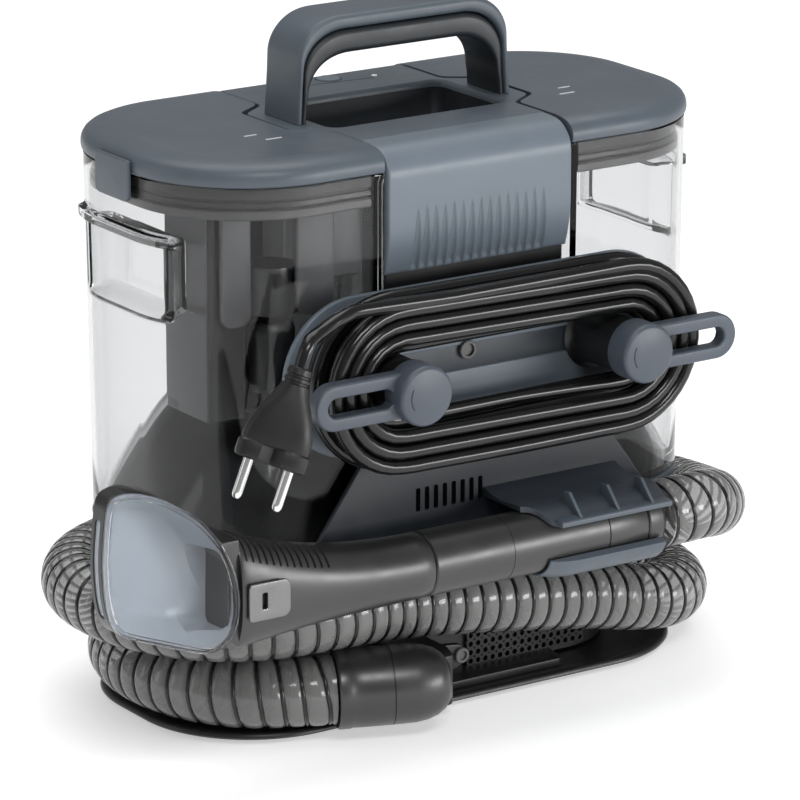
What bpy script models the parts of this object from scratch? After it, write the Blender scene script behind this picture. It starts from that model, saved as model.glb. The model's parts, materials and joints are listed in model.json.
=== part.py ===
"""Compact spot cleaner for carpets: a base, a centre spine, two lift-off tanks, a wand and a wound hose.

Run with: blender --background --python part.py
Frame: origin on the floor under the middle of the machine, +Z up, +X along the machine towards the
clean tank, and the side that carries the cord and the wand faces -Y. Sizes are in metres.
"""
import math

import bmesh
import bpy
from mathutils import Matrix, Vector

MM = 0.001
GAP = 0.3 * MM                      # clearance between pieces that touch

# ---- driving dimensions ------------------------------------------------------------------------
BODY_HX = 152 * MM                  # half length of the tanks and lids
BODY_HY = 78 * MM                   # half depth of the tanks and lids
BODY_R = 63 * MM                    # plan corner radius of the body
SPINE_HX = 52.5 * MM                # half length of the centre spine
LOBE_X = 68 * MM                    # tip of the deck's lobes, which carry the handle's legs
LOBE_TIP_Y = 20 * MM

FOOT_H = 2.5 * MM
PAN_Z = (2.5 * MM, 6 * MM)          # base tray
PAN_HX = 148 * MM
PAN_HY = 73 * MM
WAIST_HX = 118 * MM                 # the waist that the hose is wound around
WAIST_HY = 46 * MM
WAIST_R = 43 * MM
WAIST_TOP = 80 * MM
COLLAR_Z = (80.3 * MM, 94.7 * MM)   # slate rings under the tanks
TANK_Z = (95 * MM, 272 * MM)
TANK_WALL = 2.2 * MM
TANK_DRAFT = 3 * MM                 # the tank is this much smaller at its foot
SEAT_RISE = 56 * MM                 # height of the domed tank seat
SEAT_STEPS = 4
SEAT_PLAY = 2 * MM                  # room between a tank and its seat
SEAT_SPINE_GAP = 8.9 * MM
LID_Z = 272.4 * MM
DECK_Z = 283.5 * MM
DECK_HY = 31 * MM                   # half width of the trough in the deck
BUTTON_AT = (5 * MM, 60 * MM)
LIGHT_AT = (28 * MM, 54 * MM)

HANDLE_HX = 61 * MM
HANDLE_TOP = 333.5 * MM
HANDLE_THICK = 19 * MM
HANDLE_HY = 15 * MM

HOOK_X = 63.3 * MM                  # cord hooks, at this distance each side of the middle
HOOK_Z = 178.5 * MM
HOOK_REACH = 56.5 * MM
POST_R = 13.5 * MM
PANEL_Y = -79 * MM                  # face of the spine's rear panel
BACKPLATE_Y = (-78.7 * MM, -82 * MM)
CAP_Y = (-119 * MM, -128 * MM)
CORD_D = 7 * MM
COIL_INNER = 14.2 * MM
COIL_OUTER = 43 * MM
COIL_Y = (-90.5 * MM, -112 * MM)
GLAND_AT = (42 * MM, -86.5 * MM, 207 * MM)
PLUG_AT = Vector((-148, -125, 160)) * MM
PIN_SPREAD = 9.5 * MM
# route of the cord in millimetres: from the gland to the back of the coil, and from the coil to the plug
CORD_LEAD = [(17.6, -86.5, 207), (-10, -86.5, 207), (-40, -86.5, 205.5), (-62, -86.5, 200.5), (-80, -86.5, 192)]
CORD_TAIL = [(-88, -110, 219.5), (-102, -113.5, 218.5), (-115, -117, 214.5)]

WAND_Y = -110 * MM
WAND_Z = 91.5 * MM
WAND_R = 15.4 * MM
WAND_END_X = 78 * MM
WAND_SEAMS_X = (67 * MM, -56 * MM)
HOSE_D = 34.5 * MM
CUFF_MOUTH = Vector((-30, -99, 26)) * MM
CUFF_BACK = Vector((-82, -76, 24.6)) * MM
# route of the hose in millimetres: from its cuff twice round the waist and up into the end of the wand
HOSE_ROUTE = [
    (-82.4, -75.8, 24.6), (-93, -71, 24.3), (-118, -55, 23.7), (-134, -31, 23.7), (-140, 0, 23.7), (-134, 31, 23.7),
    (-115, 55, 23.7), (-86, 66, 23.7), (-45, 68, 23.7), (10, 68, 23.7), (65, 68, 23.7), (105, 65, 23.7),
    (135, 50, 23.7), (152, 25, 23.7), (156, -5, 23.7), (149, -35, 24.5), (129, -56, 27.5), (103, -65, 33),
    (72, -68, 40.5), (35, -69, 47), (0, -68.5, 52), (-40, -67.5, 56.5), (-80, -71.5, 60), (-112, -68, 60.5),
    (-139, -54, 61), (-157, -28, 61.5), (-164, 2, 62), (-158, 33, 61.5), (-138, 60, 61), (-105, 77, 60),
    (-55, 84, 59), (5, 84, 58.5), (65, 84, 58.5), (112, 79, 58.5), (145, 58, 59), (163, 30, 60), (168, 0, 62),
    (162, -34, 67), (147, -66, 75), (130, -90, 83.5), (113, -104, 89.5), (98, -109.2, 91.3), (80.5, -110, 91.5)]


# ---- helpers -----------------------------------------------------------------------------------
def clear_scene():
    for old in list(bpy.data.objects):
        bpy.data.objects.remove(old, do_unlink=True)


MATERIALS = {}


def material(name, colour, roughness, metallic=0.0, alpha=1.0):
    mat = bpy.data.materials.new(name)
    mat.use_nodes = True
    shader = mat.node_tree.nodes["Principled BSDF"]
    shader.inputs["Base Color"].default_value = (*colour, 1.0)
    shader.inputs["Roughness"].default_value = roughness
    shader.inputs["Metallic"].default_value = metallic
    shader.inputs["Alpha"].default_value = alpha
    mat.diffuse_color = (*colour, alpha)
    MATERIALS[name] = mat


def make_materials():
    material("slate", (0.115, 0.140, 0.165), 0.45)
    material("slate_dark", (0.070, 0.085, 0.100), 0.45)
    material("black", (0.012, 0.012, 0.013), 0.35)
    material("grey_seal", (0.16, 0.16, 0.165), 0.5)
    material("smoke_clear", (0.62, 0.63, 0.64), 0.06, 0.0, 0.3)
    material("separator_grey", (0.045, 0.045, 0.05), 0.35)
    material("steel", (0.75, 0.75, 0.76), 0.2, 1.0)
    material("hose_grey", (0.22, 0.22, 0.22), 0.25)
    material("rubber", (0.015, 0.015, 0.015), 0.8)
    material("pale_slate", (0.36, 0.40, 0.46), 0.35)
    material("light_white", (0.8, 0.82, 0.85), 0.3)
    material("board_green", (0.02, 0.12, 0.05), 0.5)


def add_object(name, mesh, mat, smooth_angle=35):
    mesh.materials.clear()
    mesh.materials.append(MATERIALS[mat])
    obj = bpy.data.objects.new(name, mesh)
    bpy.context.scene.collection.objects.link(obj)
    if smooth_angle:
        mesh.shade_smooth()
        mesh.set_sharp_from_angle(angle=math.radians(smooth_angle))
    return obj


def mesh_from(name, bm):
    bmesh.ops.recalc_face_normals(bm, faces=bm.faces)
    mesh = bpy.data.meshes.new(name)
    bm.to_mesh(mesh)
    bm.free()
    return mesh


def loft(name, rings, mat, smooth_angle=35, closed_path=False):
    """A closed solid through rings of points; the end rings are capped unless the path closes."""
    bm = bmesh.new()
    loops = [[bm.verts.new(p) for p in ring] for ring in rings]
    count = len(loops[0])
    pairs = list(zip(loops[:-1], loops[1:]))
    if closed_path:
        pairs.append((loops[-1], loops[0]))
    for lower, upper in pairs:
        for i in range(count):
            j = (i + 1) % count
            bm.faces.new((lower[i], lower[j], upper[j], upper[i]))
    if not closed_path:
        bm.faces.new(loops[0])
        bm.faces.new(loops[-1])
    return add_object(name, mesh_from(name, bm), mat, smooth_angle)


def arc(cx, cy, radius, start, end, steps):
    """Points on an arc, angles in degrees."""
    points = []
    for i in range(steps + 1):
        angle = math.radians(start + (end - start) * i / steps)
        points.append((cx + radius * math.cos(angle), cy + radius * math.sin(angle)))
    return points


def rounded(hx, hy, radius, steps=6):
    """Outline of a rounded rectangle, anticlockwise from its -Y side."""
    outline = []
    for sx, sy, start in ((1, -1, -90), (1, 1, 0), (-1, 1, 90), (-1, -1, 180)):
        outline += arc(sx * (hx - radius), sy * (hy - radius), radius, start, start + 90, steps)
    return outline


def flat(outline, z):
    return [(x, y, z) for x, y in outline]


def upright(outline, y):
    """An outline drawn in X and Z, placed at a depth y."""
    return [(x, y, z) for x, z in outline]


def across(outline, x):
    """An outline drawn in Y and Z, placed at x."""
    return [(x, y, z) for y, z in outline]


def plate(name, outline, z0, z1, mat, smooth_angle=35):
    return loft(name, [flat(outline, z0), flat(outline, z1)], mat, smooth_angle)


def upright_plate(name, outline, y0, y1, mat, smooth_angle=35):
    return loft(name, [upright(outline, y0), upright(outline, y1)], mat, smooth_angle)


def bar_x(name, outline, x0, x1, mat, smooth_angle=35):
    return loft(name, [across(outline, x0), across(outline, x1)], mat, smooth_angle)


def box_mesh(name, low, high):
    bm = bmesh.new()
    bmesh.ops.create_cube(bm, size=1.0)
    size = Vector(high) - Vector(low)
    middle = (Vector(high) + Vector(low)) / 2
    bmesh.ops.transform(bm, matrix=Matrix.Translation(middle) @ Matrix.Diagonal((*size, 1)), verts=bm.verts)
    return mesh_from(name, bm)


def box(name, low, high, mat):
    return add_object(name, box_mesh(name, low, high), mat, 0)


def turned(name, profile, centre, axis, mat, steps=24, smooth_angle=35):
    """A solid turned about an axis through centre; profile holds (radius, distance along axis)."""
    turn = Vector((0, 0, 1)).rotation_difference(Vector(axis)).to_matrix().to_4x4()
    place = Matrix.Translation(Vector(centre)) @ turn
    rings = []
    for radius, along in profile:
        ring = [place @ Vector((x, y, along)) for x, y in arc(0, 0, radius, 0, 360, steps)[:-1]]
        rings.append(ring)
    return loft(name, rings, mat, smooth_angle)


def cut(obj, cutter, operation="DIFFERENCE"):
    """Bake a Boolean with an exact solver and drop the cutter."""
    cutter.hide_render = True
    cutter.display_type = "WIRE"
    modifier = obj.modifiers.new("cut", "BOOLEAN")
    modifier.operation = operation
    modifier.solver = "EXACT"
    modifier.object = cutter
    depsgraph = bpy.context.evaluated_depsgraph_get()
    mesh = bpy.data.meshes.new_from_object(obj.evaluated_get(depsgraph))
    obj.modifiers.clear()
    old = obj.data
    obj.data = mesh
    mesh.name = old.name
    bpy.data.meshes.remove(old)
    bpy.data.objects.remove(cutter, do_unlink=True)
    obj.data.shade_smooth()
    obj.data.set_sharp_from_angle(angle=math.radians(35))
    return obj


def smooth_route(points, spacing):
    """Points at an even spacing on a smooth curve through a route's own points."""
    route = [Vector(p) for p in points]
    route = [2 * route[0] - route[1]] + route + [2 * route[-1] - route[-2]]
    dense = []
    for i in range(1, len(route) - 2):
        a, b, c, d = route[i - 1:i + 3]
        for k in range(20):
            t = k / 20
            dense.append(0.5 * (2 * b + (c - a) * t + (2 * a - 5 * b + 4 * c - d) * t ** 2
                                + (3 * b - a - 3 * c + d) * t ** 3))
    dense.append(route[-2])
    lengths = [0.0]
    for p, q in zip(dense[:-1], dense[1:]):
        lengths.append(lengths[-1] + (q - p).length)
    count = max(2, round(lengths[-1] / spacing))
    out = []
    k = 0
    for n in range(count + 1):
        target = lengths[-1] * n / count
        while k < len(lengths) - 2 and lengths[k + 1] < target:
            k += 1
        span = lengths[k + 1] - lengths[k]
        out.append(dense[k].lerp(dense[k + 1], (target - lengths[k]) / span if span else 0))
    return out


def tube(name, points, diameter, mat, roundness=2):
    curve = bpy.data.curves.new(name, "CURVE")
    curve.dimensions = "3D"
    curve.bevel_depth = diameter / 2
    curve.bevel_resolution = roundness
    curve.use_fill_caps = True
    spline = curve.splines.new("POLY")
    spline.points.add(len(points) - 1)
    for target, point in zip(spline.points, points):
        target.co = (*point, 1)
    obj = bpy.data.objects.new(name, curve)
    curve.materials.append(MATERIALS[mat])
    bpy.context.scene.collection.objects.link(obj)
    return obj


# ---- outlines of the body ----------------------------------------------------------------------
def half_plan(side, inset, spine_gap, shift=0.0, steps=6):
    """Plan of one tank: flat against the spine, notched round the handle column, round at its end."""
    hx = BODY_HX - inset - shift
    hy = BODY_HY - inset
    radius = BODY_R - inset
    x_in = SPINE_HX + spine_gap
    notch_x = LOBE_X + 1 * MM + spine_gap
    notch_y = LOBE_TIP_Y + 1 * MM + spine_gap
    root_y = DECK_HY + 1 * MM + spine_gap
    outline = [(x_in, -hy)]
    outline += arc(hx - radius, -hy + radius, radius, -90, 0, steps)
    outline += arc(hx - radius, hy - radius, radius, 0, 90, steps)
    outline += [(x_in, hy), (x_in, root_y), (notch_x, notch_y), (notch_x, -notch_y), (x_in, -root_y)]
    return [(side * x, y) for x, y in outline]


def spine_plan(near_y, far_y):
    """Plan of the spine's deck with a lobe at each end."""
    hx = SPINE_HX - GAP
    half = [(hx, near_y), (hx, -DECK_HY), (LOBE_X, -LOBE_TIP_Y), (LOBE_X, LOBE_TIP_Y), (hx, DECK_HY), (hx, far_y)]
    return half + [(-x, y) for x, y in half[::-1]]


# ---- base --------------------------------------------------------------------------------------
def make_base():
    z0, z1 = PAN_Z
    loft("base_pan", [flat(rounded(PAN_HX - 3 * MM, PAN_HY - 3 * MM, 57 * MM), z0),
                      flat(rounded(PAN_HX, PAN_HY, 60 * MM), z0 + 1.5 * MM),
                      flat(rounded(PAN_HX - 1.5 * MM, PAN_HY - 1.5 * MM, 58.5 * MM), z1)], "black")
    plate("service_plate", rounded(60 * MM, 30 * MM, 6 * MM, 3), 1 * MM, z0 - GAP, "black")
    for name, sx, sy in (("foot_left_near", -1, -1), ("foot_left_far", -1, 1),
                         ("foot_right_near", 1, -1), ("foot_right_far", 1, 1)):
        turned(name, [(9 * MM, 0), (10 * MM, z0 - GAP)], (sx * 106 * MM, sy * 42 * MM, 0), (0, 0, 1),
               "rubber", 16)
    wall = 2.5 * MM
    waist = (WAIST_HX, WAIST_HY, WAIST_R)
    flare = (128 * MM, 58 * MM, 50 * MM)
    low = z1 + GAP

    def ring(size, inset, z):
        return flat(rounded(size[0] - inset, size[1] - inset, size[2] - inset), z)

    loft("base_housing", [ring(flare, wall, WAIST_TOP - wall), ring(waist, wall, WAIST_TOP - 12 * MM),
                          ring(waist, wall, low), ring(waist, 0, low), ring(waist, 0, WAIST_TOP - 14 * MM),
                          ring(flare, 0, WAIST_TOP)], "black")
    box("intake_grille", (14 * MM, -WAIST_HY - 2.3 * MM, 9 * MM), (84 * MM, -WAIST_HY - GAP, 31 * MM), "black")


def make_hose_port():
    """Block on the near side of the waist that the hose cuff plugs into."""
    outline = [(-40 * MM, -46.3 * MM), (-2 * MM, -46.3 * MM), (-2 * MM, -80 * MM), (-12 * MM, -88 * MM),
               (-20 * MM, -88 * MM), (-40 * MM, -62 * MM)]
    plate("hose_port", outline, PAN_Z[1] + GAP, 32 * MM, "black", 30)


def make_collars():
    for name, side in (("collar_left", -1), ("collar_right", 1)):
        z0, z1 = COLLAR_Z
        gap = 1 * MM
        loft(name, [flat(half_plan(side, 6 * MM, gap + 3 * MM), z1 - 3 * MM),
                    flat(half_plan(side, 15 * MM, gap + 3 * MM), z0),
                    flat(half_plan(side, 11 * MM, gap), z0),
                    flat(half_plan(side, 2.5 * MM, gap), z1 - 4 * MM),
                    flat(half_plan(side, 3.5 * MM, gap), z1)], "slate")


def seat_ring(side, step, offset, lift, spine_gap):
    """One level of the dome under a tank: it pulls in from the round end and rises to the spine."""
    part = step / SEAT_STEPS
    inset = (6 + 28 * part) * MM + offset
    height = TANK_Z[0] + SEAT_RISE * math.sin(part * math.pi / 2) + lift
    return flat(half_plan(side, inset, spine_gap, 24 * MM * part), height)


def make_seats():
    for name, side in (("seat_left", -1), ("seat_right", 1)):
        gap = SEAT_SPINE_GAP + SEAT_PLAY
        rings = [seat_ring(side, 0, SEAT_PLAY, 0, gap)]
        rings += [seat_ring(side, k, SEAT_PLAY, -SEAT_PLAY, gap) for k in range(1, SEAT_STEPS + 1)]
        loft(name, rings, "black")


# ---- spine -------------------------------------------------------------------------------------
def make_spine():
    low = WAIST_TOP + GAP
    top = 257.7 * MM
    outer = rounded(SPINE_HX - 1 * MM, 73.5 * MM, 2 * MM, 2)
    inner = rounded(SPINE_HX - 4 * MM, 70.5 * MM, 2 * MM, 2)
    loft("spine_tower", [flat(inner, low + 3 * MM), flat(inner, top), flat(outer, top), flat(outer, low)],
         "black", 30)
    hx = SPINE_HX - GAP
    crest = DECK_Z
    # skin of the near side: off the deck, over a rounded shoulder, down the fluted face, tucked in below
    rear = [(-56 * MM, crest), (-68 * MM, crest - 0.5 * MM), (-73 * MM, crest - 2.5 * MM),
            (-77 * MM, crest - 7 * MM), (-79 * MM, crest - 13 * MM), (-79 * MM, 228 * MM),
            (-74.5 * MM, 222 * MM), (-74 * MM, 222 * MM), (-74 * MM, 258 * MM), (-74 * MM, crest - 9 * MM),
            (-70 * MM, crest - 4 * MM), (-56 * MM, crest - 3.5 * MM)]
    bar_x("rear_panel", rear, -hx, hx, "slate", 30)
    front = [(68 * MM, crest - 0.3 * MM), (73 * MM, crest - 2.5 * MM), (77 * MM, crest - 7 * MM),
             (79 * MM, crest - 13 * MM), (79 * MM, 84 * MM), (74 * MM, 84 * MM), (74 * MM, crest - 9 * MM),
             (70 * MM, crest - 4 * MM), (68 * MM, crest - 3.5 * MM)]
    bar_x("front_panel", front, -hx, hx, "slate", 30)

    plan = spine_plan(-55.7 * MM, 67.7 * MM)
    deck = loft("top_deck", [flat(plan, top + GAP), flat(plan, crest)], "slate", 30)
    cut(deck, add_object("trough", box_mesh("trough", (-50 * MM, -28 * MM, 262 * MM), (50 * MM, 30 * MM, 300 * MM)),
                         "slate"))
    x, y = BUTTON_AT
    cut(deck, turned("well", [(6.3 * MM, 0), (6.3 * MM, 12 * MM)], (x, y, 277 * MM), (0, 0, 1), "slate", 20))
    x, y = LIGHT_AT
    cut(deck, turned("well", [(1.9 * MM, 0), (1.9 * MM, 12 * MM)], (x, y, 279 * MM), (0, 0, 1), "slate", 10))
    x, y = BUTTON_AT
    turned("power_button", [(5.8 * MM, 0), (5.8 * MM, 5 * MM), (5 * MM, 5.6 * MM)], (x, y, 279 * MM), (0, 0, 1),
           "slate_dark", 20)
    x, y = LIGHT_AT
    turned("power_light", [(1.5 * MM, 0), (1.5 * MM, 4 * MM), (1 * MM, 4.4 * MM)], (x, y, 279.3 * MM), (0, 0, 1),
           "light_white", 10)



def handle_outline(rise, spread):
    """Half of an arch in X and Z, from the foot of the right leg to the middle of the grip."""
    foot, top = DECK_Z + GAP, rise
    shoulder = spread - 26 * MM
    points = [(spread, foot), (spread - 1.5 * MM, foot + (top - foot) * 0.36)]
    for i in range(7):
        angle = math.radians(8 + 82 * i / 6)
        points.append((shoulder + 23.5 * MM * math.cos(angle) ** 0.9,
                       top - 20 * MM + 20 * MM * math.sin(angle)))
    return points


def mirrored(points):
    """An arch outline from its right foot over the top to its left foot."""
    return points + [(-x, z) for x, z in reversed(points)]


def make_handle():
    outer = mirrored(handle_outline(HANDLE_TOP, HANDLE_HX))
    seam = mirrored(handle_outline(HANDLE_TOP - 7 * MM, HANDLE_HX - 2.8 * MM))
    under = mirrored(handle_outline(HANDLE_TOP - HANDLE_THICK, HANDLE_HX - 5.6 * MM))
    seam_low = mirrored(handle_outline(HANDLE_TOP - 7.3 * MM, HANDLE_HX - 3.1 * MM))
    upright_plate("handle_shell", outer + seam[::-1], -HANDLE_HY, HANDLE_HY, "slate", 30)
    upright_plate("handle_grip", seam_low + under[::-1], -HANDLE_HY + 1 * MM, HANDLE_HY - 1 * MM, "slate_dark", 30)


def make_lower_panel():
    """Slate skirt below the cord bay, with a row of upright vent slots."""
    outline = [(-67 * MM, 138.8 * MM), (-98 * MM, 96 * MM), (-103 * MM, 80 * MM), (-2 * MM, 80 * MM),
               (2 * MM, 74 * MM), (104 * MM, 74 * MM), (98 * MM, 96 * MM), (67 * MM, 138.8 * MM)]
    panel = upright_plate("lower_panel", outline, -82 * MM, -79 * MM, "slate", 30)
    for i in range(8):
        x = (-39 + 5.1 * i) * MM
        cut(panel, add_object("slot", box_mesh("slot", (x, -90 * MM, 107 * MM), (x + 2.4 * MM, -70 * MM, 118 * MM)),
                              "slate"))


# ---- tanks -------------------------------------------------------------------------------------
def tank_cavity(name, side, top):
    """Room inside a tank, open at the top."""
    rings = [flat(half_plan(side, 3.2 * MM, 5.4 * MM), top),
             flat(half_plan(side, TANK_DRAFT + TANK_WALL, 5.4 * MM), TANK_Z[0] + 3.5 * MM)]
    rings += [seat_ring(side, k, 0.5 * MM, 3.5 * MM, 6.9 * MM) for k in range(SEAT_STEPS + 1)]
    return loft(name, rings, "smoke_clear")


def grip_bar(name, side):
    """A bar that follows the round end of a tank above its finger recess."""
    outline = []
    for inset in (-3.5 * MM, 2.5 * MM):
        row = []
        for i in range(13):
            y = (-42 + 7 * i) * MM
            over = max(0.0, abs(y) - (BODY_HY - BODY_R))
            radius = BODY_R - inset
            row.append((side * (BODY_HX - BODY_R + math.sqrt(radius ** 2 - over ** 2)), y))
        outline += row if inset < 0 else row[::-1]
    return plate(name, outline, 241 * MM, 247.5 * MM, "smoke_clear")


def make_tank(name, side):
    z0, z1 = TANK_Z
    rings = [seat_ring(side, k, 0, 0, SEAT_SPINE_GAP) for k in range(SEAT_STEPS, -1, -1)]
    rings.append(flat(half_plan(side, TANK_DRAFT, 0.6 * MM), z0))
    rings.append(flat(half_plan(side, 1 * MM, 0.6 * MM), z1))
    tank = loft(name, rings, "smoke_clear")
    low = (136 * MM, -34 * MM, 208 * MM)
    high = (170 * MM, 34 * MM, 241.5 * MM)
    grown = (low[0] - TANK_WALL, low[1] - TANK_WALL, low[2] - TANK_WALL)
    core = tank_cavity("core", side, z1 + 5 * MM)
    for target, near, far in ((core, grown, (170 * MM, -low[1] + TANK_WALL, high[2] + TANK_WALL)),
                              (tank, low, high)):
        xs = sorted((side * near[0], side * far[0]))
        cutter = add_object("recess", box_mesh("recess", (xs[0], near[1], near[2]), (xs[1], far[1], far[2])),
                            "smoke_clear")
        cut(target, cutter)
    cut(tank, core)
    cut(tank, grip_bar("bar", side), "UNION")
    return tank


def make_lid(tank, side):
    gap = 0.9 * MM
    z0 = LID_Z
    loft(tank + "_lid", [flat(half_plan(side, 12 * MM, gap + 4 * MM), z0 + 9.5 * MM),
                         flat(half_plan(side, 9.5 * MM, gap + 4 * MM), z0),
                         flat(half_plan(side, 0.6 * MM, gap), z0),
                         flat(half_plan(side, 0, gap), z0 + 2.5 * MM),
                         flat(half_plan(side, 1 * MM, gap), z0 + 7 * MM),
                         flat(half_plan(side, 6 * MM, gap), z0 + 10.8 * MM),
                         flat(half_plan(side, 9.5 * MM, gap), z0 + 11.4 * MM)], "slate", 25)
    low, high = z0 - 16 * MM, z0 - GAP
    loft(tank + "_seal", [flat(half_plan(side, 4 * MM, 6.2 * MM), low), flat(half_plan(side, 4 * MM, 6.2 * MM), high),
                          flat(half_plan(side, 7 * MM, 9.2 * MM), high), flat(half_plan(side, 7 * MM, 9.2 * MM), low)],
         "grey_seal", 30, closed_path=True)
    x0, x1 = sorted((side * (BODY_HX + 0.4 * MM), side * (BODY_HX + 2.6 * MM)))
    tab = [(-15 * MM, 279 * MM), (15 * MM, 279 * MM), (15 * MM, 262 * MM), (12 * MM, 259 * MM),
           (-12 * MM, 259 * MM), (-15 * MM, 262 * MM)]
    bar_x(tank + "_latch", tab, x0, x1, "slate", 30)


def make_tank_fittings():
    # separator hanging in the dirty tank: lobed screens with a stepped duct below them
    top = LID_Z + 9.1 * MM
    lobes = [(-132 * MM, top), (-132 * MM, 152 * MM), (-122 * MM, 147 * MM), (-112 * MM, 147 * MM),
             (-108 * MM, 198 * MM)]
    for centre in (-101, -87):
        lobes += [(x, z) for x, z in arc(centre * MM, 200 * MM, 6.4 * MM, 180, 360, 6)]
    lobes += [(-80 * MM, top)]
    upright_plate("separator", lobes, -36 * MM, 34 * MM, "separator_grey", 30)
    turned("float", [(10 * MM, 0), (11 * MM, 2 * MM), (11 * MM, 30 * MM), (8 * MM, 34 * MM)],
           (-100 * MM, -52 * MM, 170 * MM), (0, 0, 1), "separator_grey", 16)
    turned("clean_valve", [(7 * MM, 0), (7 * MM, 8 * MM), (4 * MM, 12 * MM)],
           (86.5 * MM, 0, TANK_Z[0] + SEAT_RISE + 3.8 * MM), (0, 0, 1), "black", 14)


# ---- cord bay ----------------------------------------------------------------------------------
def racetrack(hx, radius, steps=10):
    """Outline in X and Z round both hook posts."""
    return (arc(hx, HOOK_Z, radius, -90, 90, steps) + arc(-hx, HOOK_Z, radius, 90, 270, steps))


def make_cord_bay():
    upright_plate("cord_backplate", racetrack(HOOK_X + 10 * MM, 39 * MM), BACKPLATE_Y[1], BACKPLATE_Y[0] - GAP,
                  "slate", 30)
    for name, side in (("left", -1), ("right", 1)):
        centre = (side * HOOK_X, 0, HOOK_Z)
        turned("hook_post_" + name, [(17 * MM, 82.3 * MM), (POST_R, 86 * MM), (POST_R, 112.6 * MM)],
               centre, (0, -1, 0), "slate", 24)
        make_hook("cord_hook_" + name, side)
    gland = [(4.1 * MM, 0), (4.1 * MM, 4 * MM), (3.9 * MM, 8 * MM), (3.6 * MM, 24 * MM)]
    turned("cord_gland", gland, GLAND_AT, (-1, 0, 0), "black", 14)
    outer = racetrack(HOOK_X, COIL_OUTER, 12)
    inner = racetrack(HOOK_X, COIL_INNER, 12)
    loft("power_cord_coil", [upright(outer, COIL_Y[0]), upright(outer, COIL_Y[1]),
                             upright(inner, COIL_Y[1]), upright(inner, COIL_Y[0])], "black", 30, closed_path=True)


def make_hook(name, side):
    """A looped arm that swivels on its post, with a round cap over the post."""
    half = 11 * MM
    slot_half = 4.6 * MM
    face = CAP_Y[0] - 2 * MM
    back = -113 * MM
    reach = HOOK_REACH - half
    outline = arc(reach, 0, half, -90, 90, 8) + arc(0, 0, half, 90, 270, 8)
    hook = upright_plate(name, [(side * (x + HOOK_X), z + HOOK_Z) for x, z in outline], back, face, "slate", 30)
    hole = arc(reach, 0, slot_half, -90, 90, 6) + arc(18 * MM, 0, slot_half, 90, 270, 6)
    cut(hook, upright_plate("slot", [(side * (x + HOOK_X), z + HOOK_Z) for x, z in hole], -105 * MM, -130 * MM, "slate"))
    cap = turned("cap", [(14.5 * MM, 113 * MM), (14.5 * MM, 126.4 * MM), (13.2 * MM, 128 * MM)],
                 (side * HOOK_X, 0, HOOK_Z), (0, -1, 0), "slate", 28)
    cut(hook, cap, "UNION")


def plug_frame():
    """Matrix of the hanging plug: X across the pins, -Z along the pins, origin at the pin roots."""
    across_pins = Vector((0.735, -0.598, -0.302)).normalized()
    along = Vector((-0.402, -0.055, -0.914))
    along = (along - along.dot(across_pins) * across_pins).normalized()
    up = -along
    matrix = Matrix((across_pins, up.cross(across_pins), up)).transposed().to_4x4()
    return Matrix.Translation(PLUG_AT) @ matrix


def make_plug():
    frame = plug_frame()

    def ring(half_width, half_depth, z):
        outline = rounded(half_width, half_depth, min(half_width, half_depth) * 0.95, 3)
        return [frame @ Vector((x, y, z)) for x, y in outline]

    loft("plug_body", [ring(17 * MM, 7 * MM, 0), ring(17.5 * MM, 7.5 * MM, 8 * MM), ring(15 * MM, 7.5 * MM, 20 * MM),
                       ring(8.5 * MM, 7 * MM, 32 * MM), ring(6 * MM, 6 * MM, 38 * MM), ring(5.4 * MM, 5.4 * MM, 46 * MM)],
         "black")
    for name, side in (("plug_pin_left", -1), ("plug_pin_right", 1)):
        root = frame @ Vector((side * PIN_SPREAD, 0, -GAP))
        down = (frame.to_3x3() @ Vector((0, 0, -1))).normalized()
        turned(name, [(2.4 * MM, 0), (2.4 * MM, 17 * MM), (1.6 * MM, 19 * MM)], root, down, "steel", 12)


def make_cord_tubes():
    collar_top = plug_frame() @ Vector((0, 0, 46.3 * MM))
    rise = (plug_frame().to_3x3() @ Vector((0, 0, 1))).normalized()
    tail = [Vector(p) * MM for p in CORD_TAIL] + [collar_top + 12 * MM * rise, collar_top]
    tube("power_cord_tail", smooth_route(tail, 14 * MM), CORD_D, "black")
    lead = [Vector(p) * MM for p in CORD_LEAD]
    tube("power_cord_lead", smooth_route(lead, 8 * MM), CORD_D, "black")


# ---- wand and hose -----------------------------------------------------------------------------
def make_cradles():
    reach = WAND_R + 0.8 * MM
    thick = 2.6 * MM
    panel = -82.3 * MM

    def wrap(radius, start, end):
        return arc(WAND_Y, WAND_Z, radius, start, end, 6)

    top = WAND_Z + reach + thick
    upper = wrap(reach + thick, 155, 90) + [(-87 * MM, top), (-85.5 * MM, 118 * MM), (panel, 118 * MM)]
    upper += [(panel, WAND_Z + reach)] + wrap(reach, 90, 155)
    bar_x("cradle_upper", upper, 6 * MM, 77 * MM, "slate", 30)
    lower = wrap(reach + 4 * MM, 202, 290) + [(panel, 76 * MM), (panel, 84 * MM)] + wrap(reach, 318, 202)
    bar_x("cradle_lower", lower, 8 * MM, 75 * MM, "slate", 30)


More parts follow.
